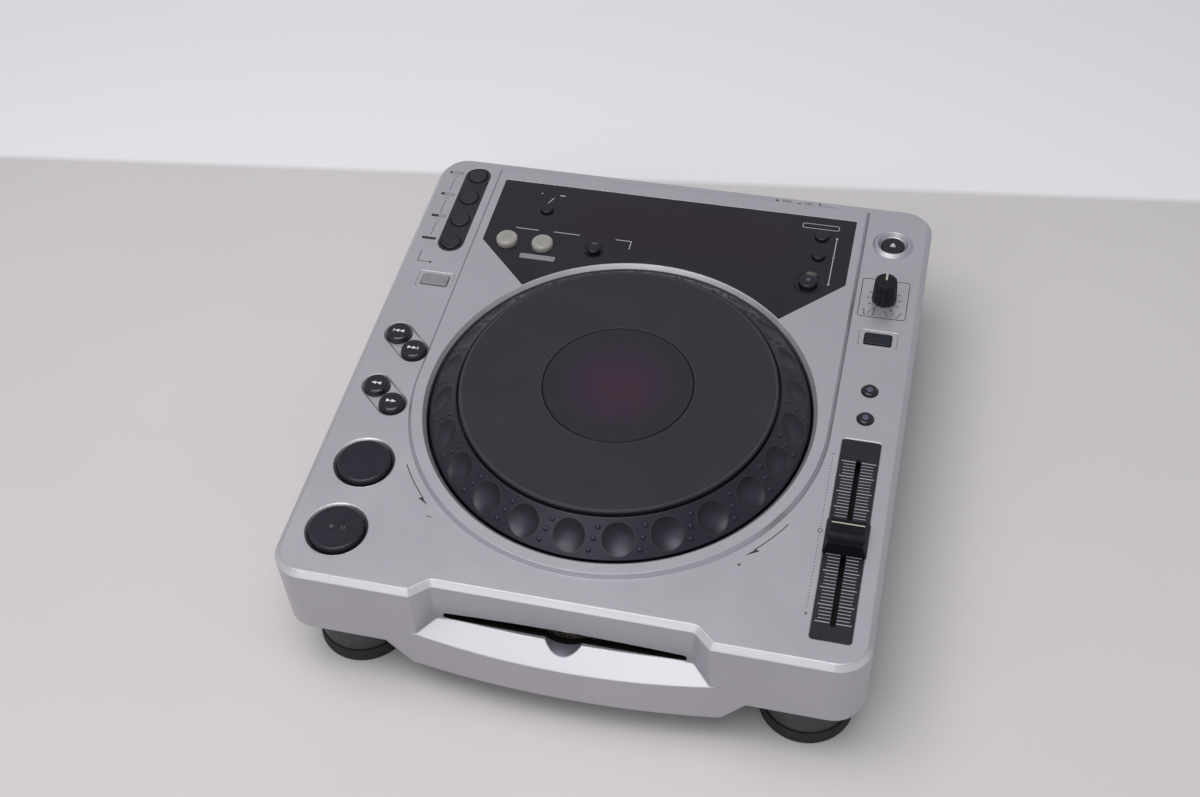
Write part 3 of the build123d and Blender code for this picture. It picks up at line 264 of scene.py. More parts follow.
def smoked_window():
    """Smoked hard-coated plastic: black, with the display's dark red glass under it."""
    look = Look("smoked_window", (0.0145, 0.0125, 0.0195), 0.16, Specular_IOR_Level=0.30)
    look.mottle(40, 0.10)
    glass = look.both(look.inside("X", -55, 68, 14), look.inside("Y", 103, 132, 8), 0.85)
    look.tint(glass, (0.0185, 0.0085, 0.0140))
    look.soft_edges(0.5 * MM)
    look.dust((0.20, 0.19, 0.19), 0.7, 0.74, 0.25)
    look.gloss(30, 0.13, 0.22)
    scratches = look.noise(2.5, 4.0, (1.0, 14.0, 1.0))
    return look.bump(look.span(scratches, 0.66, 0.72), 0.05, 0.01).material


def centre_window():
    """Smoked cap in the middle of the jog wheel, faintly red where the lamps lie under it."""
    look = Look("centre_window", (0.0195, 0.0175, 0.0250), 0.30, Specular_IOR_Level=0.28)
    look.soft_edges(0.8 * MM)
    look.tint(look.round_mask(0, JOG_Y, 4, 37), (0.035, 0.016, 0.037))
    blotches = look.span(look.noise(9, 3.0), 0.35, 0.65)
    blush = look.both(look.round_mask(3, JOG_Y - 5, 2, 26), blotches, 0.7)
    look.tint(blush, (0.044, 0.016, 0.026))
    look.dust((0.22, 0.20, 0.20), 0.8, 0.72, 0.3)
    # Painted shade: a near-black ring at the cap's rim widens the dark gap round it
    look.tint(look.jog_ring(39.9, 42.0), (0.004, 0.004, 0.005))
    look.gloss(12, 0.26, 0.36)
    return look.grain(0.4, 0.06, 0.02).material


def platter_face():
    """Charcoal touch plate with a fine spun texture."""
    look = Look("platter_dark", (0.0195, 0.0185, 0.0260), 0.46, Specular_IOR_Level=0.31)
    look.soft_edges(0.9 * MM)
    look.mottle(30, 0.06)
    centred = look.node("Mapping", {"Vector": look.coords, "Location": (0.0, -JOG_Y * MM, 0.0)})
    rings = look.node("TexWave", {
        "Vector": centred.outputs["Vector"], "Scale": 420.0, "Distortion": 0.6, "Detail": 1.0},
        wave_type="RINGS", rings_direction="Z").outputs["Fac"]
    look.bump(rings, 0.10, 0.02)
    look.dust((0.26, 0.25, 0.24), 1.1, 0.73, 0.35)
    # Painted highlights: lighter rings just inside the plate's outer edge and round its bore
    look.tint(look.jog_ring(84.2, 84.7), (0.052, 0.052, 0.060))
    look.tint(look.jog_ring(41.2, 41.7), (0.034, 0.034, 0.040))
    look.gloss(22, 0.41, 0.50)
    return look.grain(0.35, 0.10, 0.02).material


def dial_face():
    """Satin plastic of the dial, with painted shade and painted highlights in and round its finger
    dimples and a painted dark ring at its inner edge.
    """
    look = Look("dial_dark", (0.0042, 0.0040, 0.0088), 0.40, Specular_IOR_Level=0.52,
                Specular_Tint=(0.88, 0.86, 1.0, 1.0))
    look.soft_edges(0.6 * MM)
    look.mottle(18, 0.10)
    east, north = look.axis("X"), look.axis("Y", JOG_Y)
    # Distance from the middle of the nearest dimple, along the sloping face
    angle = look.maths("ADD", look.maths("ARCTAN2", north, east), math.radians(-FIRST_DIMPLE))
    half_step = math.radians(DIMPLE_STEP / 2)
    angle = look.node("Math", {0: angle, 1: half_step, 2: -half_step}, operation="WRAP").outputs[0]
    outward = look.maths("SUBTRACT", look.reach(east, north), DIAL_MIDDLE * MM)
    bowl = look.reach(look.both(angle, DIAL_MIDDLE * MM), look.both(outward, DIAL_SLOPE / DIAL_RUN))
    # Painted shade round the edges of each dimple
    dimple_shade = look.both(look.span(bowl, 4.6 * MM, 8.3 * MM, smooth=True),
                      look.span(bowl, 8.5 * MM, 8.9 * MM, 1.0, 0.0), 0.9)
    look.tint(dimple_shade, (0.0008, 0.0008, 0.0012))
    # Painted highlight in the middle of each dimple
    look.tint(look.span(bowl, 1.0 * MM, 5.6 * MM, 0.75, 0.0, smooth=True), (0.0150, 0.0155, 0.0240))
    # Painted highlight: a thin lighter ring at each dimple's rim
    dimple_rim_highlight = look.both(look.span(bowl, 8.6 * MM, 8.8 * MM),
                     look.span(bowl, 9.0 * MM, 9.2 * MM, 0.5, 0.0))
    look.tint(dimple_rim_highlight, (0.034, 0.034, 0.042))
    look.dust((0.20, 0.19, 0.18), 1.4, 0.71, 0.35)
    # Painted shade: a near-black ring at the inner crest widens the dark gap to the platter
    look.tint(look.jog_ring(80.0, 87.6, 0.25), (0.0012, 0.0012, 0.0016))
    look.gloss(16, 0.34, 0.44)
    return look.grain(0.5, 0.14, 0.03).material


def translucent(name, colour, inner, roughness=0.30):
    """Milky plastic that lets a lamp shine through."""
    look = Look(name, colour, roughness, Subsurface_Weight=0.12, Subsurface_Scale=1.0 * MM,
                Coat_Weight=0.15, Coat_Roughness=0.12, Specular_IOR_Level=0.35)
    look.mottle(3, 0.06)
    look.tint(look.span(look.noise(5), 0.45, 0.75, 0.0, 0.5), inner)
    look.gloss(4, roughness - 0.05, roughness + 0.06)
    return look.grain(0.5, 0.08, 0.02).material


def blue_key():
    """Dark blue lamp window in a black key."""
    look = Look("cap_blue", (0.0020, 0.0022, 0.0040), 0.24, Specular_IOR_Level=0.36)
    window = look.both(look.inside("X", 124.6, 137.4, 0.4), look.inside("Y", 50.1, 56.1, 0.4))
    look.tint(window, (0.0085, 0.0098, 0.0185))
    look.tint(look.both(window, look.span(look.noise(4), 0.45, 0.7)), (0.0105, 0.0125, 0.0225))
    look.soft_edges(0.4 * MM)
    look.gloss(4, 0.20, 0.28)
    return look.grain(0.4, 0.05, 0.02).material


def sheet_steel(name, colour, metallic, low, high):
    """Sheet metal with a faint rolling direction."""
    look = Look(name, colour, (low + high) / 2, metallic)
    look.mottle(35, 0.07)
    look.gloss(6, low, high, (1.0, 9.0, 1.0))
    return look.grain(0.6, 0.12, 0.03).material


def circuit_board(name, top):
    """Green laminate with copper traces; what stands on it is dark."""
    look = Look(name, (0.020, 0.115, 0.050), 0.35, Coat_Weight=0.3, Coat_Roughness=0.15)
    look.mottle(12, 0.12)
    traces = look.span(look.cells(5.0, "DISTANCE_TO_EDGE"), 0.04, 0.07, 1.0, 0.0)
    look.tint(look.both(traces, 0.7), (0.045, 0.20, 0.085))
    look.tint(look.span(look.axis("Z"), (top + 0.05) * MM, (top + 0.15) * MM), (0.035, 0.035, 0.04))
    look.gloss(8, 0.30, 0.45)
    return look.grain(0.8, 0.10, 0.03).material


def rubber(name, colour):
    """Matt rubber with a fine tooth and some dust."""
    look = Look(name, colour, 0.78, Specular_IOR_Level=0.3)
    look.mottle(9, 0.12)
    look.dust((0.25, 0.23, 0.21), 1.3, 0.70, 0.4)
    look.gloss(7, 0.70, 0.86)
    return look.grain(0.6, 0.25, 0.05).material


def socket_mix():
    """Moulded socket bodies with nickel shells outside the panel."""
    look = Look("socket_body", (0.030, 0.030, 0.032), 0.40)
    shell = look.span(look.axis("Y"), 159.4 * MM, 159.6 * MM)
    look.tint(shell, (0.62, 0.60, 0.56))
    look.tree.links.new(shell, look.shader.inputs["Metallic"])
    look.gloss(4, 0.26, 0.40)
    return look.grain(0.4, 0.08, 0.02).material


def ink(name, colour, roughness=0.55):
    """Screen-printed ink, a little uneven."""
    look = Look(name, colour, roughness, Specular_IOR_Level=0.3)
    look.mottle(0.8, 0.10)
    look.gloss(2, roughness - 0.06, roughness + 0.08)
    return look.grain(0.2, 0.10, 0.01).material


SILVER = silver_paint()
BEZEL = bright_plate("bezel_silver", (0.74, 0.74, 0.77), 0.33, 0.38)
CAP_GLOSS = moulded("cap_black", (0.0065, 0.0057, 0.0098), 0.12, 0.18, 0.05, 0.5, 0.48, 0.1)
CAP_SATIN = moulded("cap_soft_black", (0.0105, 0.0105, 0.0190), 0.28, 0.37, 0.12, 0.4, 0.33, 0.15)
CAP_BLACK = moulded("cap_deep_black", (0.0050, 0.0050, 0.0090), 0.30, 0.40, 0.08, 0.4, 0.24, 0.1)
CAP_BEAT = moulded("cap_beat_black", (0.0190, 0.0195, 0.0235), 0.26, 0.36, 0.08, 0.4, 0.32, 0.1)
CAP_FADER = moulded("cap_fader_black", (0.0045, 0.0050, 0.0075), 0.45, 0.58, 0.12, 0.4, 0.13, 0.1)
INLAY = moulded("inlay_dark", (0.0205, 0.0170, 0.0255), 0.44, 0.54, 0.15, 0.35, 0.28, 0.15)
PLATE = moulded("plate_dark", (0.0125, 0.0110, 0.0190), 0.38, 0.48, 0.10, 0.4, 0.31, 0.35)
FRAME_BLACK = moulded("frame_black", (0.010, 0.010, 0.011), 0.55, 0.70, 0.2, 0.6, 0.22)
HUB = moulded("hub_plastic", (0.025, 0.025, 0.027), 0.38, 0.50)
SWITCH = moulded("switch_body", (0.045, 0.045, 0.047), 0.40, 0.50)
SLEEVE = moulded("sleeve_white", (0.70, 0.70, 0.67), 0.35, 0.45)
FOOT = moulded("foot_plastic", (0.054, 0.053, 0.058), 0.42, 0.55, 0.2, 0.6, 0.3, 0.3)
CREAM = translucent("cap_cream", (0.355, 0.340, 0.318), (0.30, 0.288, 0.27))
CREAM_FLAT = translucent("cap_cream_flat", (0.255, 0.245, 0.262), (0.215, 0.207, 0.225), 0.38)
BLUE = blue_key()
GROUND = sheet_steel("bright_steel", (0.62, 0.62, 0.63), 1.0, 0.16, 0.26)
CAN = sheet_steel("fader_can", (0.50, 0.50, 0.51), 1.0, 0.28, 0.40)
# Near-black can for the fader's body: painted shade, so the fader's slot reads dark
CAN_BLACK = sheet_steel("fader_can_black", (0.008, 0.008, 0.009), 0.3, 0.50, 0.65)
DECK = sheet_steel("deck_steel", (0.050, 0.050, 0.052), 0.2, 0.45, 0.60)
TRAY = sheet_steel("tray_steel", (0.115, 0.115, 0.122), 0.3, 0.45, 0.60)
PANEL = sheet_steel("panel_black", (0.022, 0.022, 0.024), 0.1, 0.45, 0.58)
SCREW = sheet_steel("screw_steel", (0.16, 0.16, 0.165), 0.9, 0.30, 0.45)
RUBBER = rubber("foot_rubber", (0.026, 0.026, 0.028))
ROLLER = rubber("roller_rubber", (0.035, 0.034, 0.034))

NODE_LOOKS = {
    "top_case": SILVER, "base_tray": TRAY, "rear_panel": PANEL, "beat_plate": INLAY,
    "display_window": smoked_window(), "transport_bezels": BEZEL, "mode_bezels": SILVER,
    "eject_ring": bright_plate("ring_silver", (0.45, 0.45, 0.48), 0.42, 0.50),
    "fader_plate": PLATE, "fader_body": CAN_BLACK, "fader_slider": CAN,
    "fader_cap": CAP_FADER, "speed_pot": SWITCH, "speed_knob": CAP_BLACK,
    "jog_frame": FRAME_BLACK, "jog_bearing": SLEEVE, "jog_dial": dial_face(),
    "jog_platter": platter_face(), "jog_window": centre_window(),
    "display_module": moulded("display_glass", (0.030, 0.014, 0.018), 0.12, 0.20, 0.04),
    "control_boards": circuit_board("board_controls", 74.2), "tact_switches": SWITCH,
    "main_board": circuit_board("board_main", 35.6),
    "power_supply": circuit_board("board_supply", 35.6),
    # The drive frame takes the near-black deck steel: painted shade behind the disc slot
    "drive_frame": DECK, "loading_roller": ROLLER, "traverse_frame": DECK,
    "spindle_motor": GROUND, "guide_rods": GROUND, "spindle_hub": HUB, "pickup_sled": HUB,
    "lead_screw": GROUND, "audio_sockets": socket_mix(), "power_inlet": HUB,
    "power_button": CAP_SATIN, "feet": FOOT, "foot_pads": RUBBER, "case_screws": SCREW,
    "loop_in_button": CREAM, "loop_out_button": CREAM, "reverse_button": CREAM_FLAT,
    "jog_mode_button": BLUE, "cue_button": CAP_SATIN, "play_button": CAP_SATIN,
    "track_back_button": CAP_GLOSS, "track_next_button": CAP_GLOSS,
    "search_back_button": CAP_GLOSS, "search_next_button": CAP_GLOSS,
    "tempo_range_button": CAP_GLOSS, "master_tempo_button": CAP_GLOSS,
    "beat_button_1": CAP_BEAT, "beat_button_2": CAP_BEAT, "beat_button_3": CAP_BEAT,
    "beat_button_4": CAP_BEAT,
}
for node_name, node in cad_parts.items():
    node.data.materials.clear()
    node.data.materials.append(NODE_LOOKS.get(node_name, CAP_SATIN))


# ---------------------------------------------------------------- building pieces
INK_SINK = 0.05
TURN_STEPS = 32


def add_piece(name, verts, faces, body, material, smooth=False):
    """Mesh piece from points in millimetres, riding on a body."""
    mesh = bpy.data.meshes.new(name)
    mesh.from_pydata([tuple(c * MM for c in v) for v in verts], [], faces)
    mesh.validate()
    if smooth:
        mesh.shade_smooth()
    mesh.materials.append(material)
    piece = bpy.data.objects.new(name, mesh)
    scene.collection.objects.link(piece)
    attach(piece, body)
    return piece


class Marks:
    """Thin printed marks on a level face, gathered into one mesh."""

    def __init__(self, z, height=0.05):
        self.low = z - INK_SINK
        self.high = z + height
        self.verts = []
        self.faces = []

    def polygon(self, points):
        """Solid mark with this outline, given anticlockwise."""
        start = len(self.verts)
        count = len(points)
        self.verts += [(x, y, self.high) for x, y in points]
        self.verts += [(x, y, self.low) for x, y in points]
        self.faces.append(tuple(range(start, start + count)))
        for i in range(count):
            j = (i + 1) % count
            self.faces.append((start + j, start + i, start + count + i, start + count + j))
        return self

    def path(self, points, width, closed=False):
        """Line of even width along the points, with mitred corners."""
        count = len(points)
        left, right = [], []
        for i, (x, y) in enumerate(points):
            before = points[i - 1] if (i or closed) else None
            after = points[(i + 1) % count] if (i < count - 1 or closed) else None
            runs = []
            if before:
                runs.append(Vector((x - before[0], y - before[1])).normalized())
            if after:
                runs.append(Vector((after[0] - x, after[1] - y)).normalized())
            mean = sum(runs, Vector((0, 0))).normalized()
            across = Vector((-mean.y, mean.x)) * (width / 2)
            across /= max(0.35, mean.dot(runs[0]))
            left.append((x + across.x, y + across.y))
            right.append((x - across.x, y - across.y))
        for i in range(count if closed else count - 1):
            j = (i + 1) % count
            self.polygon([right[i], right[j], left[j], left[i]])
        return self

    def line(self, x0, y0, x1, y1, width):
        return self.path([(x0, y0), (x1, y1)], width)

    def plus(self, x, y, width):
        """Plus sign with arms of one millimetre."""
        self.line(x - 1, y, x + 1, y, width)
        return self.line(x, y - 1, x, y + 1, width)

    def dot(self, x, y, radius, steps=14):
        return self.polygon(circle(x, y, radius, steps))

    def ring(self, x, y, radius, width, steps=24):
        return self.path(circle(x, y, radius, steps), width, closed=True)

    def frame(self, x, y, wide, deep, corner, width):
        return self.path(round_box(x, y, wide, deep, corner), width, closed=True)

    def box(self, x, y, wide, deep, corner=0.0):
        return self.polygon(round_box(x, y, wide, deep, corner))

    def add(self, name, body, material):
        return add_piece(name, self.verts, self.faces, body, material)


def circle(x, y, radius, steps):
    return [(x + radius * math.cos(2 * math.pi * i / steps),
             y + radius * math.sin(2 * math.pi * i / steps)) for i in range(steps)]


def arc(x, y, radius, start, end, steps):
    """Points along an arc between two angles in degrees."""
    return [(x + radius * math.cos(math.radians(start + (end - start) * i / steps)),
             y + radius * math.sin(math.radians(start + (end - start) * i / steps)))
            for i in range(steps + 1)]


def round_box(x, y, wide, deep, corner):
    """Outline of a rectangle with rounded corners."""
    if corner <= 0:
        return [(x - wide / 2, y - deep / 2), (x + wide / 2, y - deep / 2),
                (x + wide / 2, y + deep / 2), (x - wide / 2, y + deep / 2)]
    points = []
    for sx, sy, start in ((1, -1, -90), (1, 1, 0), (-1, 1, 90), (-1, -1, 180)):
        points += arc(x + sx * (wide / 2 - corner), y + sy * (deep / 2 - corner), corner,
                      start, start + 90, 5)
    return points


def turned(name, profile, place, body, material, up=(0, 0, 1)):
    """Turned piece: (radius, height) points swept round an axis through place."""
    verts, faces = [], []
    steps = TURN_STEPS
    turn = Vector((0, 0, 1)).rotation_difference(Vector(up)).to_matrix()
    for radius, height in profile:
        for i in range(steps):
            angle = 2 * math.pi * i / steps
            point = turn @ Vector((radius * math.cos(angle), radius * math.sin(angle), height))
            verts.append((place[0] + point.x, place[1] + point.y, place[2] + point.z))
    for row in range(len(profile) - 1):
        for i in range(steps):
            j = (i + 1) % steps
            faces.append((row * steps + i, row * steps + j, (row + 1) * steps + j,
                          (row + 1) * steps + i))
    faces.append(tuple(range((len(profile) - 1) * steps, len(profile) * steps)))
    faces.append(tuple(reversed(range(steps))))
    piece = add_piece(name, verts, faces, body, material, smooth=True)
    piece.data.set_sharp_from_angle(angle=math.radians(35))
    return piece


# ---------------------------------------------------------------- prints
INK_DARK = ink("ink_dark", (0.028, 0.026, 0.032))
INK_GREY = ink("ink_grey", (0.060, 0.056, 0.068))
INK_PALE = ink("ink_pale", (0.46, 0.46, 0.50))
INK_LABEL = ink("ink_label", (0.245, 0.240, 0.265))
INK_LINE = ink("ink_line", (0.41, 0.41, 0.45))
INK_WHITE = ink("ink_white", (0.70, 0.70, 0.76))
CREAM_INK = ink("ink_cream", (0.50, 0.46, 0.39))


def letter_n(marks, x, y, tall, width):
    wide = tall * 0.8
    marks.path([(x, y), (x, y + tall), (x + wide, y), (x + wide, y + tall)], width)
    return x + wide


def letter_o(marks, x, y, tall, width):
    wide = tall * 0.95
    marks.frame(x + wide / 2, y + tall / 2, wide, tall, tall * 0.4, width)
    return x + wide


def letter_f(marks, x, y, tall, width):
    wide = tall * 0.7
    marks.path([(x, y), (x, y + tall), (x + wide, y + tall)], width)
    marks.line(x, y + tall * 0.5, x + wide * 0.85, y + tall * 0.5, width)
    return x + wide


def triangle(marks, x, y, wide, tall, way):
    """Small solid arrow pointing left (-1) or right (1)."""
    points = [(x - way * wide / 2, y - tall / 2), (x + way * wide / 2, y),
              (x - way * wide / 2, y + tall / 2)]
    marks.polygon(points if way > 0 else points[::-1])


def power_marks():
    """ON and OFF beside their marks along the back edge."""
    marks = Marks(CASE_TOP)
    y, tall, width = 156.3, 1.7, 0.28
    x = letter_o(marks, 62.2, y, tall, width) + 0.7
    x = letter_f(marks, x, y, tall, width) + 0.6
    letter_f(marks, x, y, tall, width)
    marks.polygon([(70.4, 156.2), (73.5, 156.0), (73.3, 156.9), (71.8, 157.0)])
    x = letter_o(marks, 75.7, y, tall, width) + 0.7
    letter_n(marks, x, y, tall, width)
    marks.path([(84.4, 158.5), (84.7, 156.4), (93.5, 156.4)], 0.3)
    marks.line(84.3, 158.6, 84.6, 156.9, 0.9)
    marks.box(58.6, 157.3, 1.9, 1.2)
    marks.add("power_marks", "case", INK_DARK)


def beat_marks():
    """Beat lengths beside the four loop buttons: filled and outlined bars tied by a line."""
    marks, outlines = Marks(CASE_TOP), Marks(CASE_TOP)
    rows, bar, thick = 4, 8.4, 1.7
    for row in range(rows):
        y = 147.1 - 20.05 * row
        filled = bar / 2 ** (rows - 1 - row)
        marks.box(-146.0 + filled / 2, y, filled, thick)
        outlines.frame(-141.8, y, bar, thick, 0.4, 0.3)
        if row < rows - 1:
            for k in range(3):
                x, top = 1.3 * k - 143.2, y - 2.4 - 0.4 * k
                marks.line(x, top, x + 0.4, top - 0.9 + 0.1 * k, 0.35)
            marks.line(-141.4, y - 5.7, -141.6, y - 17.0, 0.3)
    marks.path([(-142.8, 75.9), (-142.8, 67.0), (-135.4, 67.0)], 0.4)
    triangle(marks, -134.6, 67.0, 1.7, 2.0, 1)
    marks.add("beat_marks", "case", INK_DARK)
    outlines.add("beat_frames", "case", INK_GREY)


def knob_marks():
    """Frame, ticks and switching curves round the speed knob."""
    marks = Marks(CASE_TOP)
    marks.frame(130.9, 85.0, 26.7, 30.3, 2.0, 0.42)
    for step in range(11):
        angle = math.radians(240 - 30 * step)
        reach, width = (10.6, 0.6) if step in (0, 10) else (9.9, 0.45)
        (x0, y0), (x1, y1) = ((KNOB[0] + r * math.cos(angle), KNOB[1] + r * math.sin(angle))
                              for r in (8.1, reach))
        marks.line(x0, y0, x1, y1, width)
    low, high = 71.6, 75.2
    for x, start, end in ((120.8, high, low), (126.2, low, high)):
        marks.path([(x - 1.1, start), (x + 0.1, start), (x + 0.1, end), (x + 1.3, end)], 0.42)
    for x, start, end in ((133.3, high, low), (140.6, low, high)):
        marks.path([(x - 1.9, start), (x - 0.9, start), (x + 0.9, end), (x + 1.9, end)], 0.36)
    for x in (123.4, 136.9):
        marks.line(x - 0.7, low, x + 0.9, high, 0.26)
    marks.add("knob_marks", "case", INK_DARK)


def tempo_marks():
    """Dotted scale beside the fader, from minus through zero to plus."""
    marks = Marks(CASE_TOP)
    x = 117.9
    for first, pitch, count in ((-35.3, 2.0, 24), (-86.8, 2.086, 22)):
        for step in range(count):
            marks.dot(x, first - pitch * step, 0.29, 8)
    marks.ring(x, -83.8, 1.15, 0.38)
    marks.line(116.8, -33.1, 118.7, -33.1, 0.32)
    marks.plus(118.0, -134.2, 0.36)
    marks.add("tempo_marks", "case", INK_GREY)


def jog_marks():
    """Curved arrows with their signs in front of the jog wheel."""
    marks = Marks(CASE_TOP)
    radius, head, side = 119.0, 119.2, 121.2
    marks.path(arc(0, JOG_Y, radius, -148.6, -136.4, 14), 0.5)
    foot, tip = arc(0, JOG_Y, head, -136.8, -133.9, 1)
    marks.polygon([foot, arc(0, JOG_Y, side, -137.1, -136.8, 1)[0], tip])
    marks.path(arc(0, JOG_Y, radius, -31.2, -42.6, 14), 0.5)
    foot, tip = arc(0, JOG_Y, head, -42.2, -45.4, 1)
    marks.polygon([foot, tip, arc(0, JOG_Y, side, -41.9, -42.0, 1)[0]])
    marks.line(-81.0, -114.3, -78.6, -114.3, 0.45)
    marks.plus(81.6, -112.5, 0.45)
    marks.add("jog_marks", "case", INK_DARK)


def fader_marks():
    """Scale lines on both sides of the fader's slot."""
    marks = Marks(FADER_PLATE_TOP)
    for step in range(51):
        y = -36.2 - 2.02 * step
        left, right, width = (122.6, 140.5, 0.46) if step % 5 == 0 else (123.8, 139.4, 0.34)
        marks.line(left, y, FADER_SLOT[0], y, width)
        marks.line(FADER_SLOT[1], y, right, y, width)
    marks.add("fader_marks", "case", INK_LINE)


def window_marks():
    """Pale marks and a plain label on the display window."""
    marks = Marks(WINDOW_TOP)
    marks.dot(-83.1, 135.2, 0.5)
    marks.line(-77.4, 127.1, -74.9, 132.4, 0.5)
    marks.line(-71.8, 135.1, -68.4, 135.1, 0.8)
    marks.line(-91.2, 102.7, -77.1, 102.6, 0.5)
    marks.line(-67.7, 102.9, -51.6, 102.9, 0.5)
    marks.path([(-29.7, 103.0), (-20.2, 103.0), (-20.2, 96.4)], 0.5)
    Marks(WINDOW_TOP).box(-72.2, 79.9, 21.3, 4.0, 0.8).add("window_label", "case", INK_LABEL)
    marks.frame(88.1, 135.6, 21.6, 3.8, 1.2, 0.4)
    marks.line(98.6, 126.9, 98.6, 88.5, 0.5)
    for y in (126.9, 111.0, 88.5):
        marks.dot(98.6, y, 0.75)
    marks.add("window_marks", "case", INK_PALE)


for print_marks in (power_marks, beat_marks, knob_marks, tempo_marks, jog_marks, fader_marks,
                    window_marks):
    print_marks()


# ---------------------------------------------------------------- symbols on the buttons
def skip_symbol(name, x, y, way, bar):
    """Two arrows, with an end bar for the track buttons."""
    marks = Marks(CASE_TOP + 2.5)
    for shift in (-1.45, 1.45):
        triangle(marks, x + shift - (0.5 * way if bar else 0.0), y, 2.9, 2.2, way)
    if bar:
        marks.line(x + way * 2.75, y - 1.1, x + way * 2.75, y + 1.1, 0.5)
    marks.add(name + "_symbol", name, INK_WHITE)


skip_symbol("track_back", -135.2, 7.5, -1, True)
skip_symbol("track_next", -122.8, -3.8, 1, True)
skip_symbol("search_back", -135.2, -33.0, -1, False)
skip_symbol("search_next", -122.8, -44.2, 1, False)

eject_symbol = Marks(CASE_TOP - 0.2)
eject_symbol.polygon([(129.6, 130.2), (132.6, 130.2), (131.1, 132.3)])
eject_symbol.box(131.1, 129.4, 3.0, 0.6)
eject_symbol.add("eject_symbol", "eject", INK_WHITE)

play_symbol = Marks(CASE_TOP + 1.9, 0.03)
triangle(play_symbol, -126.4, -131.5, 2.8, 2.8, 1)
play_symbol.line(-121.5, -132.7, -121.5, -129.9, 0.6)
play_symbol.line(-119.9, -132.7, -119.9, -129.9, 0.6)
play_symbol.add("play_symbol", "play", ink("ink_faint", (0.075, 0.075, 0.09)))


def lens(name, x, y, z, radius, rise, body, material):
    """Low domed lens on a button."""
    profile = [(radius, -0.2), (radius, 0.0)]
    for step in range(1, 6):
        angle = math.radians(90 * step / 6)
        profile.append((radius * math.cos(angle), rise * math.sin(angle)))
    return turned(name, profile, (x, y, z), body, material)


def glow(name, colour, strength):
    """Faintly lit lamp."""
    look = Look(name, colour, 0.25, Emission_Strength=strength)
    look.shader.inputs["Emission Color"].default_value = (*colour, 1.0)
    look.mottle(0.6, 0.15)
    return look.grain(0.3, 0.05, 0.01).material


LAMP = glow("lamp_blue", (0.070, 0.078, 0.130), 0.10)
for button, x, y in (("tempo_range", 131.3, 14.0), ("master_tempo", 131.3, -6.1)):
    lens(button + "_lamp", x, y, CASE_TOP + 1.58, 1.75, 0.25, button, LAMP)
lens("quick_return_lamp", 87.0, 88.6, WINDOW_TOP + 1.98, 1.2, 0.12, "quick_return", LAMP)
LENS = translucent("lens_grey", (0.31, 0.305, 0.29), (0.36, 0.355, 0.34), 0.22)
for button, x in (("loop_in", -93.5), ("loop_out", -71.7)):
    lens(button + "_lens", x, 90.8, WINDOW_TOP + 3.55, 3.9, 0.25, button, LENS)


# ---------------------------------------------------------------- jog wheel
def dial_dots():
    """Three raised dots between each pair of finger dimples, leaning round the dial."""
    verts, faces = [], []
    steps, rings = 12, 4
    dot_radius, dot_rise, sink = 1.45, 0.75, 0.05
    slope = Vector((-DIAL_RUN, 0, DIAL_RISE)) / DIAL_SLOPE
    away = Vector((DIAL_RISE, 0, DIAL_RUN)) / DIAL_SLOPE
    middle = Vector((DIAL_MIDDLE, 0, CASE_TOP + 0.5 + DIAL_RISE / 2))
    for gap in range(DIMPLES):
        turn = Matrix.Rotation(math.radians(FIRST_DIMPLE + DIMPLE_STEP * (gap + 0.5)), 3, "Z")
        for place in (-1, 0, 1):
            centre = middle + slope * (6.0 * place) + Vector((0, 2.0 * place, 0))
            start = len(verts)
            for ring in range(rings):
                share = math.radians(90 * ring / rings)
                radius, height = dot_radius * math.cos(share), dot_rise * math.sin(share)
                for x, y in circle(0, 0, radius, steps):
                    point = centre + slope * x + away * (height - sink) + Vector((0, y, 0))
                    verts.append(turn @ point + Vector((0, JOG_Y, 0)))
            for ring in range(rings - 1):
                a = start + ring * steps
                for i in range(steps):
                    j = (i + 1) % steps
                    faces.append((a + j, a + i, a + steps + i, a + steps + j))
            top = start + (rings - 1) * steps
            faces.append(tuple(reversed(range(top, top + steps))))
    add_piece("dial_dots", verts, faces, "dial", NODE_LOOKS["jog_dial"], smooth=True)


dial_dots()


# ---------------------------------------------------------------- knob, fader and slot details
def sloped_strip(name, points, width, depth, body, material):
    """Raised strip along points in space, level across."""
    verts, faces = [], []
    for x, y, z in points:
        verts += [(x - width / 2, y, z + depth), (x + width / 2, y, z + depth),
                  (x + width / 2, y, z - depth), (x - width / 2, y, z - depth)]
    for i in range(len(points) - 1):
        a = 4 * i
        for k in range(4):
            faces.append((a + k, a + (k + 1) % 4, a + 4 + (k + 1) % 4, a + 4 + k))
    faces += [(3, 2, 1, 0), tuple(range(4 * len(points) - 4, 4 * len(points)))]
    return add_piece(name, verts, faces, body, material)


pointer = [(85.4, 103.2), (90.5, 103.2), (91.02, 102.7), (91.12, 101.4)]
sloped_strip("knob_pointer", [(KNOB[0], y, z) for y, z in pointer], 1.1, 0.12, "knob", CREAM_INK)
middle = sum(FADER_SLOT) / 2
sloped_strip("fader_line", [(middle, -83.4, 96.3), (middle, -82.7, 96.3)], 16.8, 0.08, "fader",
             CREAM_INK)


def slot_felt():
    """Black felt, with brown dust caught in the middle where discs go in by hand."""
    look = Look("slot_felt", (0.0085, 0.0072, 0.0062), 0.9, Specular_IOR_Level=0.1)
    caught = look.both(look.inside("X", -9, 14, 7), look.span(look.noise(1.4, 4.0), 0.38, 0.6))
    look.tint(caught, (0.095, 0.082, 0.060))
    look.dust((0.20, 0.18, 0.15), amount=0.35)
    look.gloss(9, 0.85, 0.95)
    return look.grain(0.8, 0.3, 0.03).material


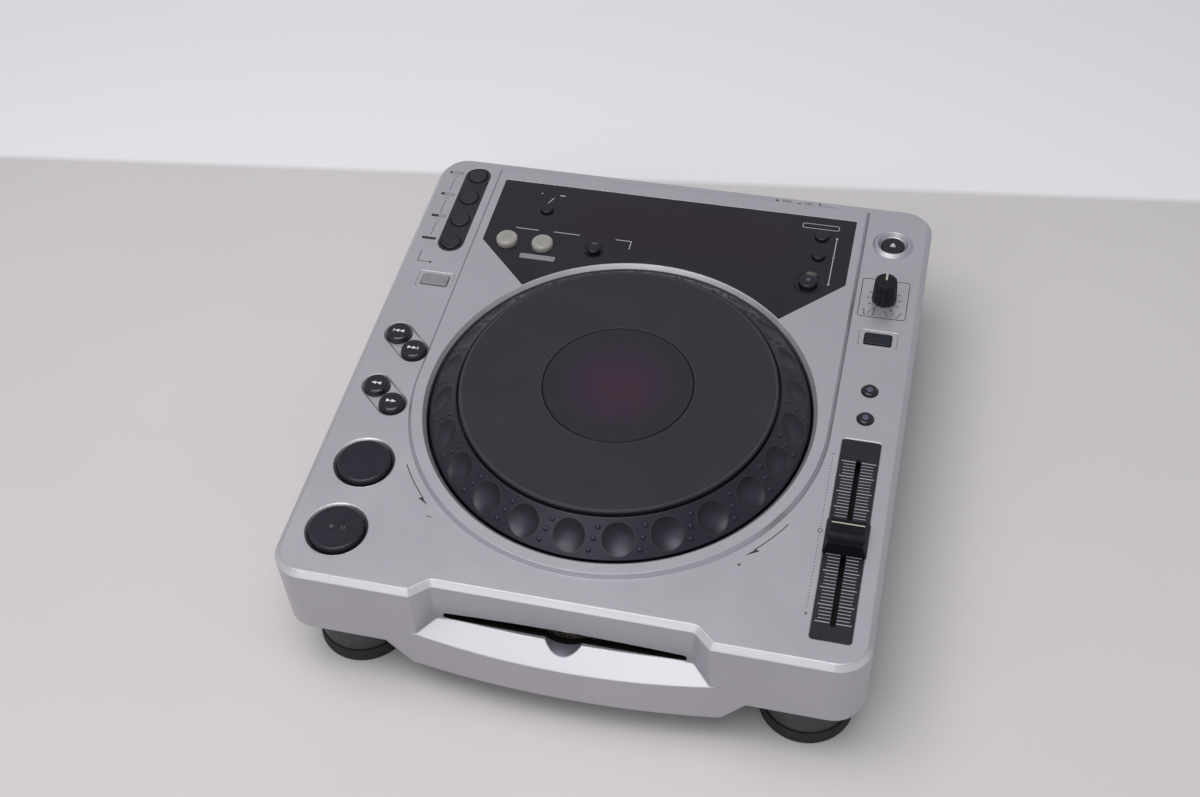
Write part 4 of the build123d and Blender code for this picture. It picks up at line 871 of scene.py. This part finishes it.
def felt_strips():
    """Two felt lips behind the disc slot, below and above the disc's path."""
    strips = Marks(0)
    for low, high in ((53.4, 58.0), (63.0, 66.6)):
        strips.low, strips.high = low, high
        strips.box(0, -149.5, 128.0, 1.5)
    strips.add("slot_felt", "case", slot_felt())


felt_strips()

# Coloured rings that tell the sockets apart
RING = [(4.4, 0.0), (6.2, 0.0), (6.2, 0.5), (5.9, 0.8), (4.4, 0.8)]
SOCKETS = ((-108.0, (0.60, 0.20, 0.03)), (-90.0, (0.62, 0.62, 0.60)), (-64.0, (0.45, 0.02, 0.02)))
for number, (x, colour) in enumerate(SOCKETS):
    turned(f"socket_ring_{number}", RING, (x, PANEL_FACE, SOCKET_Z), "case",
           moulded(f"ring_{number}", colour, 0.35, 0.45), up=(0, 1, 0))


# ---------------------------------------------------------------- stage, lights and camera
def floor_look():
    """Pale table, and behind a slanting line the white cloth, on the same plane."""
    look = Look("floor", (0.695, 0.672, 0.678), 0.65, Specular_IOR_Level=0.15)
    look.mottle(260, 0.02)
    line = look.maths("ADD", look.both(look.axis("X"), -0.121), look.axis("Y"))
    look.tint(look.span(line, 0.262, 0.268), (0.95, 0.94, 0.98))
    return look.material


def add_floor():
    mesh = bpy.data.meshes.new("floor")
    corners = [(x, y, 0) for x, y in round_box(0, 0, 12.0, 12.0, 0)]
    mesh.from_pydata(corners, [], [(0, 1, 2, 3)])
    mesh.materials.append(floor_look())
    floor = bpy.data.objects.new("floor", mesh)
    scene.collection.objects.link(floor)


def add_lamp(name, place, size, power):
    """Soft box that faces the player."""
    data = bpy.data.lights.new(name, "AREA")
    data.shape = "RECTANGLE"
    data.size, data.size_y = size
    data.energy = power
    data.color = (1.0, 0.985, 0.965)
    lamp = bpy.data.objects.new(name, data)
    lamp.location = place
    aim = Vector((0, 0, 0.05)) - Vector(place)
    lamp.rotation_euler = aim.to_track_quat("-Z", "Y").to_euler()
    scene.collection.objects.link(lamp)


def add_world():
    """Soft even room: dimmer as a lamp than it looks in the background and in reflections."""
    world = bpy.data.worlds.new("studio")
    scene.world = world
    world.use_nodes = True
    nodes, links = world.node_tree.nodes, world.node_tree.links
    background = nodes["Background"]
    background.inputs["Color"].default_value = (0.93, 0.94, 1.0, 1.0)
    path = nodes.new("ShaderNodeLightPath")
    seen = path.outputs["Is Camera Ray"]
    for kind in ("Is Glossy Ray", "Is Transmission Ray"):
        either = nodes.new("ShaderNodeMath")
        either.operation = "MAXIMUM"
        links.new(seen, either.inputs[0])
        links.new(path.outputs[kind], either.inputs[1])
        seen = either.outputs[0]
    level = nodes.new("ShaderNodeMapRange")
    level.inputs["To Min"].default_value = 0.29
    level.inputs["To Max"].default_value = 0.62
    links.new(seen, level.inputs["Value"])
    links.new(level.outputs["Result"], background.inputs["Strength"])


def add_camera():
    """Camera solved from the photograph's 1200 by 797 frame."""
    wide, high = 1200, 797
    focal, centre_x, centre_y = 1581.50, 578.32, 403.30
    data = bpy.data.cameras.new("camera")
    data.sensor_width = 36.0
    data.lens = 36.0 * focal / wide
    data.shift_x = (wide / 2 - centre_x) / wide
    data.shift_y = (centre_y - high / 2) / wide
    data.clip_start, data.clip_end = 0.05, 30.0
    camera = bpy.data.objects.new("camera", data)
    place = (0.143791, -0.565281, 0.738285)
    right = Vector((0.97071141, 0.23443242, -0.05254333))
    ahead = Vector((-0.19240076, 0.62758852, -0.75439684))
    above = right.cross(ahead)
    turn = Matrix((right, above, -ahead)).transposed().to_4x4()
    camera.matrix_world = Matrix.Translation(place) @ turn
    scene.collection.objects.link(camera)
    scene.camera = camera


add_floor()
add_world()
add_lamp("overhead", (-0.15, -0.35, 1.55), (1.4, 1.0), 17.0)
add_lamp("front_soft", (-0.36, -1.10, 0.98), (1.0, 0.45), 2.2)
add_camera()
